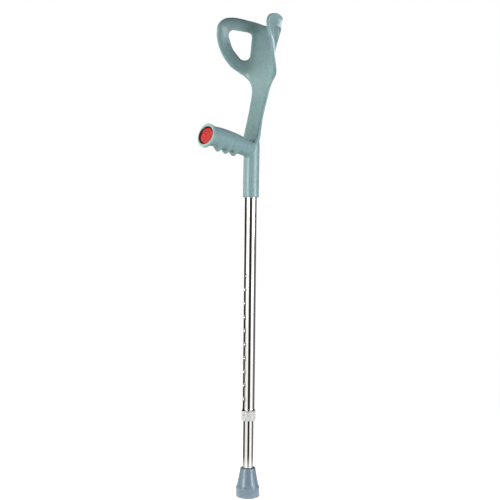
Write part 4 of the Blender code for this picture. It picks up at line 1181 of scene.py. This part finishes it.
def sheet_windows():
    right = anticlockwise(even_steps(rounded_polygon(WINDOW_CORNERS, 16) * MM, OUTLINE_STEP, closed=True))
    return [right, anticlockwise(right * np.array((-1.0, 1.0)))]


def on_sheet(points, outline, windows):
    held = inside(points, outline)
    for window in windows:
        held &= ~inside(points, window)
    return held


def hexagon_grid(low, high, step):
    """Points of a triangular grid over a rectangle, about its middle line."""
    row_step = step * math.sqrt(0.75)
    columns, rows = int((high[0] - low[0]) / step / 2.0) + 1, int((high[1] - low[1]) / row_step) + 1
    grid = [
        ((column + 0.5 * (row % 2)) * step, low[1] + row * row_step)
        for row in range(rows)
        for column in range(-columns, columns + 1)
    ]
    return np.array(grid)


def sheet_triangles():
    """The sheet laid flat: points, their distances to any edge and to the rim, and triangles."""
    outline, windows = sheet_outline(), sheet_windows()
    loops = [outline] + windows
    rings = []
    for depth in EDGE_BANDS:
        rings.append(inset(outline, depth))
        rings += [inset(window, -depth) for window in windows]
    edges, start = [], 0
    for loop in rings:
        edges += [(start + i, start + (i + 1) % len(loop)) for i in range(len(loop))]
        start += len(loop)
    grid = hexagon_grid(outline.min(0), outline.max(0), SHEET_STEP)
    grid = grid[on_sheet(grid, outline, windows)]
    clear = distance_to_loops(grid, loops) > EDGE_BANDS[-1] + 0.5 * SHEET_STEP
    points = np.vstack(rings + [grid[clear]])
    flat, _, faces, *_ = delaunay_2d_cdt([Vector(p) for p in points], edges, [], 0, 1e-7)
    flat = np.array([tuple(p) for p in flat])
    middles = np.array([flat[list(face)].mean(0) for face in faces])
    kept = on_sheet(middles, outline, windows)
    triangles = [face for face, good in zip(faces, kept) if good]
    return flat, distance_to_loops(flat, loops), distance_to_loops(flat, [outline]), triangles


def sheet_faces(p, z, distance, rim_distance):
    """Points on both faces of the sheet, at distances from its nearest edge and from its outer rim."""
    cuff = float(smooth_step(z, STEM_TOP, STEM_TOP + STEM_FADE))
    near = max(1.0 - distance / EDGE_BEAD_WIDTH, 0.0)
    thickness = sheet_thickness(z) + EDGE_BEAD * cuff * math.sin(math.pi * min(near, 0.5))
    normal = sheet_normal(p, z)
    near_rim = max(1.0 - rim_distance / EDGE_FLARE_WIDTH, 0.0)
    flare = EDGE_FLARE * smooth_step(z, *EDGE_FLARE_GROWS) * near_rim**2
    flare += TOP_FLARE * smooth_step(z, *TOP_FLARE_GROWS) * (1.0 - smooth_step(abs(p), *TOP_FLARE_ENDS))
    hollow = STEM_HOLLOW * (1.0 - cuff) * smooth_step(distance, 0.0, STEM_HOLLOW_WIDTH)
    middle = sheet_point(p, z) - normal * (thickness / 2.0 + flare)
    share = min(distance / (thickness / 2.0), 1.0)
    half = thickness / 2.0 * math.sqrt(1.0 - (1.0 - share) ** 2)
    return middle + normal * (half - hollow), middle - normal * half


def sheet_body():
    """The stem and cuff as one closed body with rounded edges."""
    flat, edge_distances, rim_distances, triangles = sheet_triangles()
    bm = bmesh.new()
    front, back = [], []
    for (p, z), edge, rim in zip(flat, edge_distances, rim_distances):
        front_point, back_point = sheet_faces(p, z, edge, rim)
        front.append(bm.verts.new(front_point))
        back.append(bm.verts.new(back_point))
    for a, b, c in triangles:
        bm.faces.new((front[a], front[b], front[c]))
        bm.faces.new((back[c], back[b], back[a]))
    bmesh.ops.remove_doubles(bm, verts=bm.verts, dist=MERGE)
    loose = [vert for vert in bm.verts if not vert.link_faces]
    bmesh.ops.delete(bm, geom=loose, context="VERTS")
    return bm


def oval(front, back, half_v, z):
    """A level oval section about the plane of symmetry, between two forward distances."""
    middle, half_u = (front + back) / 2.0, (front - back) / 2.0
    return [(-(middle + half_u * x), half_v * y, z) for x, y, _ in ring(1.0, 0.0, OVAL_STEPS)]


def socket_body():
    """The round socket, leaning back a little as it rises and running up into the spine of the stem."""
    radius, lean = SOCKET_RADIUS, SOCKET_LEAN
    rounding = arc((radius - SOCKET_EDGE, SOCKET_EDGE), SOCKET_EDGE, -90.0, 0.0, 3)
    loops = [oval(r, -r, r, z - SOCKET_DEPTH) for r, z in rounding]
    loops.append(oval(radius - lean, -radius - lean, radius, SOCKET_CROWN))
    shoulder_top = SOCKET_CROWN + BACK_SHOULDER
    for z in np.linspace(SOCKET_CROWN, SPINE_TOP, SPINE_SECTIONS)[1:]:
        front_share = smooth_step(z, SOCKET_CROWN, SOCKET_CROWN + FRONT_SHOULDER)
        back_share = smooth_step(z, SOCKET_CROWN, shoulder_top)
        fade = 1.0 - smooth_step(z, SPINE_TOP - SPINE_FADE, SPINE_TOP)
        spine_front = middle_u(z) - SPINE_COVER
        spine_back = middle_u(z) - sheet_thickness(z) - SPINE_HEIGHT * fade
        spine_half = SPINE_WIDTH / 4.0 * (1.0 + fade)
        front = radius - lean + (spine_front - radius + lean) * front_share
        back = -radius - lean + (spine_back + radius + lean) * back_share
        loops.append(oval(front, back, radius + (spine_half - radius) * back_share, z))
    return loft(loops)


def grip_centre(u):
    """Height of the grip's middle line."""
    share = u / GRIP_LENGTH
    arch = GRIP_ARCH * 4.0 * share * (1.0 - share)
    return GRIP_ROOT_HEIGHT + (GRIP_END_HEIGHT - GRIP_ROOT_HEIGHT) * share + arch


def finger_ridge(u):
    """How far the ridges between the fingers stand down at a distance along the grip."""
    turns = (u - FINGER_START) / FINGER_PITCH
    if not 0.0 < turns < FINGER_COUNT:
        return 0.0
    return FINGER_DEPTH * (0.5 - 0.5 * math.cos(2.0 * math.pi * turns)) ** FINGER_SHARPNESS


def grip_section(u):
    """A section of the grip, leaning back by as much as the cap does at the grip's end."""
    share = u / GRIP_LENGTH
    lean = GRIP_TILT * smooth_step(share, GRIP_TILT_STARTS, 1.0)
    belly = math.sin(math.pi * share)
    at_end = smooth_step(share, GRIP_END_STARTS, 1.0)
    end_radius = GRIP_WIDTH / 2.0 + GRIP_END_GROWTH

    def half_size(middle, swell):
        return (middle / 2.0 + swell * belly) * (1.0 - at_end) + end_radius * at_end

    above = half_size(GRIP_HEIGHT, GRIP_CROWN) + GRIP_END_RISE * smooth_step(share, GRIP_RISE_STARTS, 1.0)
    below = half_size(GRIP_HEIGHT, GRIP_CROWN_BELOW)
    half_width = half_size(GRIP_WIDTH, GRIP_BELLY)
    half_width -= GRIP_ROOT_NARROWER * (1.0 - smooth_step(u, 0.0, GRIP_ROOT_LENGTH))
    ridge = finger_ridge(u + below * math.sin(lean))
    points = []
    for angle in np.linspace(0.0, 2.0 * math.pi, OVAL_STEPS, endpoint=False):
        across, up = math.cos(angle), math.sin(angle)
        lift = above * up if up > 0.0 else below * up - ridge * up**4
        forward = u - lift * math.sin(lean)
        points.append((-forward, half_width * across, grip_centre(u) + lift * math.cos(lean)))
    return points


def grip_body():
    """The solid grip, from inside the socket to the face that the cap covers."""
    return loft([grip_section(u) for u in np.linspace(GRIP_ROOT_START, GRIP_LENGTH, GRIP_SECTIONS)])


def grip_hollow():
    """The space inside the grip: straight where the cap plugs in, then along the grip's middle."""
    straight = SPIGOT_LENGTH + SPIGOT_CLEARANCE
    place = pointing(GRIP_AXIS, GRIP_END)
    loops = [[place @ Vector(p) for p in ring(GRIP_BORE, z, SMALL_STEPS)] for z in (PAST, -straight)]
    first = GRIP_LENGTH - straight
    for u in np.linspace(first, GRIP_BORE_START, 8)[1:]:
        share = (first - u) / (first - GRIP_BORE_START)
        lean = GRIP_TILT * (1.0 - share)
        loop = []
        for x, y, _ in ring(GRIP_BORE + (GRIP_BORE_INNER - GRIP_BORE) * share, 0.0, SMALL_STEPS):
            loop.append((-u + x * math.sin(lean), y, grip_centre(u) + x * math.cos(lean)))
        loops.append(loop)
    return loft(loops)


def screw_space():
    """The hole for the screw and its sunken head, with an eased rim."""
    sink = SOCKET_RADIUS - SCREW_SUNK - SCREW_HEAD_HEIGHT - TOUCH
    head, shank = SCREW_HEAD_RADIUS + TOUCH, SCREW_RADIUS + TOUCH
    profile = [
        (head + SINK_RIM_WIDTH, SCREW_WALL + SINK_RIM_ABOVE),
        (head, SCREW_WALL - SINK_RIM_BELOW),
        (head, sink),
        (shank, sink),
        (shank, UPPER_RADIUS - PAST),
    ]
    return turned(profile, SMALL_STEPS, False)


def smoothed(mesh, rounds):
    """Evens a close-meshed surface, with every second pass outwards so that it keeps its volume."""
    count = len(mesh.vertices)
    points = np.empty(count * 3)
    mesh.vertices.foreach_get("co", points)
    points = points.reshape(-1, 3)
    edges = np.empty(len(mesh.edges) * 2, int)
    mesh.edges.foreach_get("vertices", edges)
    first, second = edges.reshape(-1, 2).T
    neighbours = np.bincount(edges, minlength=count)[:, None]
    for weight in rounds:
        total = np.zeros_like(points)
        for axis in range(3):
            total[:, axis] = np.bincount(first, points[second, axis], count)
            total[:, axis] += np.bincount(second, points[first, axis], count)
        points += weight * (total / neighbours - points)
    mesh.vertices.foreach_set("co", points.ravel())
    mesh.update()


def handle():
    """Socket, grip, stem and cuff run into each other as in one moulding."""
    bm = bmesh.new()
    for part in (sheet_body(), socket_body(), grip_body()):
        join_into(bm, part)
    piece = mesh_object("handle_moulding", moved(bm, HANDLE_PLACE))
    melt = piece.modifiers.new("melt", "REMESH")
    melt.mode = "VOXEL"
    melt.voxel_size = VOXEL
    made_plain(piece)
    smoothed(piece.data, MELT_PASSES)
    bore = rod(SOCKET_BORE, UPPER_TOP_Z + TOUCH, UPPER_TOP_Z - SOCKET_DEPTH - PAST, FINE_STEPS)
    carve(
        piece,
        mesh_object("tube_bore", bore),
        mesh_object("grip_space", moved(grip_hollow(), HANDLE_PLACE)),
        mesh_object("screw_sink", moved(screw_space(), SCREW_PLACE)),
    )
    return dress(piece, SAGE, "handle", "handle_body")


def handle_screw():
    """A pan-head screw with a cross recess."""
    top = SCREW_WALL - SCREW_SUNK
    under = top - SCREW_HEAD_HEIGHT
    profile = [
        (SCREW_TIP_RADIUS, SCREW_TIP),
        (SCREW_RADIUS, SCREW_TIP + SCREW_TIP_LENGTH),
        (SCREW_RADIUS, under),
        (SCREW_HEAD_RADIUS, under),
    ]
    profile += dome(SCREW_HEAD_RADIUS, top, SCREW_HEAD_DOME, 5.0, 84.0, 8)
    screw = mesh_object("handle_screw_steel", moved(turned(profile, SMALL_STEPS, False), SCREW_PLACE))
    cross = (SCREW_CROSS_LENGTH, SCREW_CROSS_WIDTH)
    arms = []
    for long, wide in (cross, cross[::-1]):
        loops = [
            [(sx * long * s, sy * wide * s, z) for sx, sy in ((1, 1), (-1, 1), (-1, -1), (1, -1))]
            for s, z in ((0.5, top - SCREW_CROSS_DEPTH), (1.0, top + 0.2 * MM))
        ]
        arms.append(mesh_object("recess", moved(loft(loops), SCREW_PLACE)))
    return dress(carve(screw, *arms), STEEL, "handle", "handle_screw")


def cap_loop(inwards, z):
    """The cap's oval outline, moved inwards."""
    tall, wide = CAP_TALL - inwards, CAP_WIDE - inwards
    return [(x * tall, y * wide, z) for x, y, _ in ring(1.0, 0.0, FINE_STEPS)]


def grip_cap():
    """The oval cap with its round recess for the lens and its hollow spigot in the grip."""
    recess, inner = REFLECTOR_RADIUS + TOUCH, SPIGOT_RADIUS - SPIGOT_WALL
    rounding = arc((CAP_EDGE, CAP_FRONT - CAP_EDGE), CAP_EDGE, 180.0, 90.0, 6)
    back_edge = ((CAP_EDGE, 0.0), (CAP_EDGE_MIDDLE, CAP_EDGE_MIDDLE), (0.0, CAP_EDGE))
    loops = [cap_loop(inwards, TOUCH + z) for inwards, z in back_edge]
    loops += [cap_loop(inwards, z) for inwards, z in rounding]
    soft = arc((recess + CAP_RECESS_EDGE, CAP_FRONT - CAP_RECESS_EDGE), CAP_RECESS_EDGE, 90.0, 180.0, 4)
    inside_profile = soft + [
        (recess, RECESS_FLOOR),
        (inner, RECESS_FLOOR),
        (inner, -SPIGOT_LENGTH),
        (SPIGOT_RADIUS - SPIGOT_EDGE, -SPIGOT_LENGTH),
        (SPIGOT_RADIUS, -SPIGOT_LENGTH + SPIGOT_NOSE),
        (SPIGOT_RADIUS, TOUCH),
    ]
    loops += [ring(radius, z, FINE_STEPS) for radius, z in inside_profile]
    cap = mesh_object("grip_cap_moulding", moved(loft(loops, closed=True), CAP_PLACE))
    # The cap's side below its face is painted darker and bluish, as shade.
    flank_shade = (CAP_PLACE, CAP_FACE_STARTS, CAP_FLANK_PAINTED_SHADE)
    finish = moulded_plastic("pale_green_plastic", (166, 199, 187), (160, 194, 182), 0.27, flank_shade)
    return dress(cap, finish, "handle", "grip_end_cap")


def reflector():
    """The lens with its prisms, and the plate welded behind it."""
    red = red_lens()
    radius, level, rim_round = REFLECTOR_RADIUS, LENS_FRONT - LENS_CROWN, LENS_RIM_WIDTH / 2.0
    inner, rim_top = radius - LENS_RIM_WIDTH, CAP_FRONT - LENS_RIM_BELOW
    profile = [(LENS_MIDDLE, LENS_BACK), (radius, LENS_BACK)]
    profile += arc((radius - rim_round, rim_top - rim_round), rim_round, 0.0, 180.0, 6)
    profile += arc((inner - LENS_FILLET, level + LENS_FILLET), LENS_FILLET, 0.0, -90.0, 4)
    profile.append((LENS_MIDDLE, level))
    lens = mesh_object("reflector_prisms", turned(profile, FINE_STEPS, False), 20.0)
    PRISM_FIELD.grow(
        lens, 10.0, Finish=red, Pitch=PRISM_PITCH, Radius=inner, Level=level, Height=PRISM_HEIGHT
    )
    lens.data.transform(CAP_PLACE)
    dress(lens, red, "handle", "reflector_lens")
    plate = turned(wall_section(radius, PLATE_MIDDLE, PLATE_BACK, PLATE_FRONT, THIN_EDGE))
    return dress(mesh_object("reflector_plate", moved(plate, CAP_PLACE)), GREY, "handle", "reflector_back")


handle()
handle_screw()
grip_cap()
reflector()
upper_tube()
guide_bush()
collar_nut()
lower_tube()
button_spring()
snap_button()
foot()
foot_washer()


# The studio. Directions in it are degrees to the right of the camera, as seen from the crutch.
TO_CAMERA = Vector((-math.sin(CAMERA_TURN), -math.cos(CAMERA_TURN), 0.0))
TO_RIGHT = Vector((math.cos(CAMERA_TURN), -math.sin(CAMERA_TURN), 0.0))

LAMP_DISTANCE = 2.2
LAMP_AIM = 0.45

# Each lamp's direction, height, size, watts and colour, and whether polished surfaces mirror it
LAMPS = (
    ("left_softbox", -47.0, 0.58, (0.9, 0.34), 12.4, (1.0, 1.0, 0.97), True),
    ("left_low_softbox", -50.0, 0.2, (0.6, 0.36), 4.6, (0.97, 0.99, 1.0), True),
    ("right_softbox", 68.0, 0.58, (1.3, 0.36), 9.0, (0.93, 0.97, 1.0), True),
    ("right_low_softbox", 54.0, 0.2, (0.6, 0.36), 4.2, (0.97, 0.99, 1.0), True),
    ("front_softbox", 8.0, 1.0, (1.5, 0.5), 3.2, (0.9, 0.97, 1.0), True),
    ("upper_softbox", 46.0, 1.22, (0.7, 0.5), 1.4, (0.92, 0.97, 1.0), True),
    ("back_softbox", 150.0, 1.08, (0.7, 0.8), 5.0, (0.93, 0.97, 1.0), True),
    ("left_screen", -92.0, 0.8, (2.2, 1.6), 62.0, (1.0, 1.0, 0.97), False),
    ("right_screen", 58.0, 0.42, (1.4, 0.85), 41.0, (0.97, 0.96, 1.0), False),
    ("front_screen", -15.0, 0.42, (1.2, 0.85), 3.0, (0.97, 0.98, 1.0), False),
)

# The floor, in metres from the foot: where it is matt, where it is white, and where metal mirrors it
FLOOR_REACH = 40.0
FLOOR_DROP = 0.05 * MM
FLOOR_COLOUR = (0.8, 0.8, 0.8, 1.0)
FLOOR_GLOW = 0.72
FLOOR_WHITENS = (0.3, 1.2)
FLOOR_MIRRORED_UP_TO = (0.12, 0.3)

WHITE = (1.0, 1.0, 1.0, 1.0)
ROOM_EVEN = 0.02

# How much of the room is mirrored at the sine of a height: its walls, the dark above them, the ceiling
ROOM_HEIGHTS = ((0.0, 1.0), (0.1, 1.0), (0.34, 0.25), (0.55, 0.25), (0.8, 1.0))

# The colours that a polished tube mirrors, by direction
STUDIO_ROUND = (
    (-180, (238, 238, 236)),
    (-156, (225, 222, 218)),
    (-148, (54, 52, 50)),
    (-92, (30, 28, 27)),
    (-81, (205, 202, 198)),
    (-60, (258, 257, 255)),
    (-22, (275, 275, 272)),
    (-14, (52, 50, 51)),
    (25, (36, 35, 36)),
    (34, (280, 280, 280)),
    (78, (270, 270, 270)),
    (87, (112, 111, 112)),
    (150, (96, 95, 97)),
    (158, (150, 150, 152)),
)


def camera():
    data = bpy.data.cameras.new("camera")
    data.sensor_width = SENSOR_WIDTH
    data.lens = FOCAL_PIXELS / PHOTO_WIDTH * SENSOR_WIDTH
    data.shift_x, data.shift_y = CAMERA_SHIFT
    ahead = (-TO_CAMERA * math.cos(CAMERA_PITCH) - UP * math.sin(CAMERA_PITCH)).normalized()
    right = ahead.cross(UP).normalized()
    up = right.cross(ahead)
    rolled_right = right * math.cos(CAMERA_ROLL) + up * math.sin(CAMERA_ROLL)
    rolled_up = up * math.cos(CAMERA_ROLL) - right * math.sin(CAMERA_ROLL)
    turn = Matrix((rolled_right, rolled_up, -ahead)).transposed().to_4x4()
    obj = added("camera", data)
    obj.matrix_world = Matrix.Translation(TO_CAMERA * CAMERA_DISTANCE + UP * CAMERA_HEIGHT) @ turn
    bpy.context.scene.camera = obj


def studio_direction(degrees_right):
    """The level direction at an angle to the right of the direction to the camera."""
    angle = math.radians(degrees_right)
    return TO_CAMERA * math.cos(angle) + TO_RIGHT * math.sin(angle)


def lamp(name, degrees_right, height, size, energy, colour, mirrored):
    """A soft rectangular lamp, which polished surfaces mirror or don't."""
    data = bpy.data.lights.new(name, "AREA")
    data.shape = "RECTANGLE"
    data.size, data.size_y = size
    data.energy = energy
    data.color = colour
    place = studio_direction(degrees_right) * LAMP_DISTANCE + UP * height
    turn = (UP * LAMP_AIM - place).to_track_quat("-Z", "Y").to_matrix().to_4x4()
    obj = added(name, data)
    obj.matrix_world = Matrix.Translation(place) @ turn
    obj.visible_glossy = mirrored


def ray_kinds(tree):
    """Which rays the camera sends, and which ones gloss or glass sends on."""
    path = tree.node("ShaderNodeLightPath").outputs
    return path["Is Camera Ray"], tree.plus(path["Is Glossy Ray"], path["Is Transmission Ray"])


def studio_world():
    """A white background, even light, and the room's light and dark sides for what mirrors them."""
    world = bpy.data.worlds.new("pale_studio")
    world.use_nodes = True
    world.node_tree.nodes.clear()
    tree = Nodes(world.node_tree)
    ray = tree.node("ShaderNodeTexCoord").outputs["Generated"]

    def along(direction):
        return tree.vector_math("DOT_PRODUCT", ray, direction)["Value"]

    def ramp(value, stops):
        node = tree.node("ShaderNodeValToRGB", value)
        while len(node.color_ramp.elements) < len(stops):
            node.color_ramp.elements.new(0.5)
        for element, (position, colour) in zip(node.color_ramp.elements, stops):
            element.position = position
            element.color = colour
        return node.outputs["Color"]

    turn = tree.math("ARCTAN2", along(TO_RIGHT), along(TO_CAMERA))
    share = tree.plus(tree.math("DIVIDE", turn, 2.0 * math.pi), 0.5)
    round_room = ramp(share, [(degrees / 360.0 + 0.5, linear(*colour)) for degrees, colour in STUDIO_ROUND])
    upwards = ramp(along(UP), [(height, (light, light, light, 1.0)) for height, light in ROOM_HEIGHTS])
    from_camera, mirrored = ray_kinds(tree)
    even = tree.out("ShaderNodeBackground", WHITE, ROOM_EVEN)
    room = tree.out("ShaderNodeBackground", round_room, upwards)
    lit = tree.out("ShaderNodeMixShader", mirrored, even, room)
    backdrop = tree.out("ShaderNodeBackground", WHITE, 1.0)
    tree.node("ShaderNodeOutputWorld", tree.out("ShaderNodeMixShader", from_camera, lit, backdrop))
    bpy.context.scene.world = world


def floor():
    """A white floor that takes the shadow near the foot and meets the white background further off."""
    bm = bmesh.new()
    bmesh.ops.create_grid(bm, x_segments=1, y_segments=1, size=FLOOR_REACH)
    mesh = bpy.data.meshes.new("floor")
    bm.to_mesh(mesh)
    bm.free()
    obj = added("floor", mesh)
    obj.location = -FLOOR_DROP * UP
    material = bpy.data.materials.new("white_floor")
    material.use_nodes = True
    material.node_tree.nodes.clear()
    tree = Nodes(material.node_tree)
    far = tree.length(tree.node("ShaderNodeTexCoord").outputs["Object"])
    from_camera, mirrored = ray_kinds(tree)
    seen = tree.plus(from_camera, mirrored)
    matt = tree.out("ShaderNodeBsdfDiffuse", FLOOR_COLOUR)
    glow = tree.out("ShaderNodeEmission", WHITE, tree.times(seen, FLOOR_GLOW))
    near_floor = tree.out("ShaderNodeAddShader", matt, glow)
    far_floor = tree.out("ShaderNodeEmission", WHITE, seen)
    away = tree.out("ShaderNodeMapRange", far, *FLOOR_WHITENS, 0.0, 1.0)
    whole = tree.out("ShaderNodeMixShader", away, near_floor, far_floor)
    beside = tree.out("ShaderNodeMapRange", far, *FLOOR_MIRRORED_UP_TO, 0.0, 1.0)
    through = tree.times(mirrored, beside)
    surface = tree.out("ShaderNodeMixShader", through, whole, tree.out("ShaderNodeBsdfTransparent"))
    tree.node("ShaderNodeOutputMaterial", surface)
    mesh.materials.append(material)


camera()
studio_world()
floor()
for row in LAMPS:
    lamp(*row)

bpy.context.scene.view_settings.view_transform = "Standard"
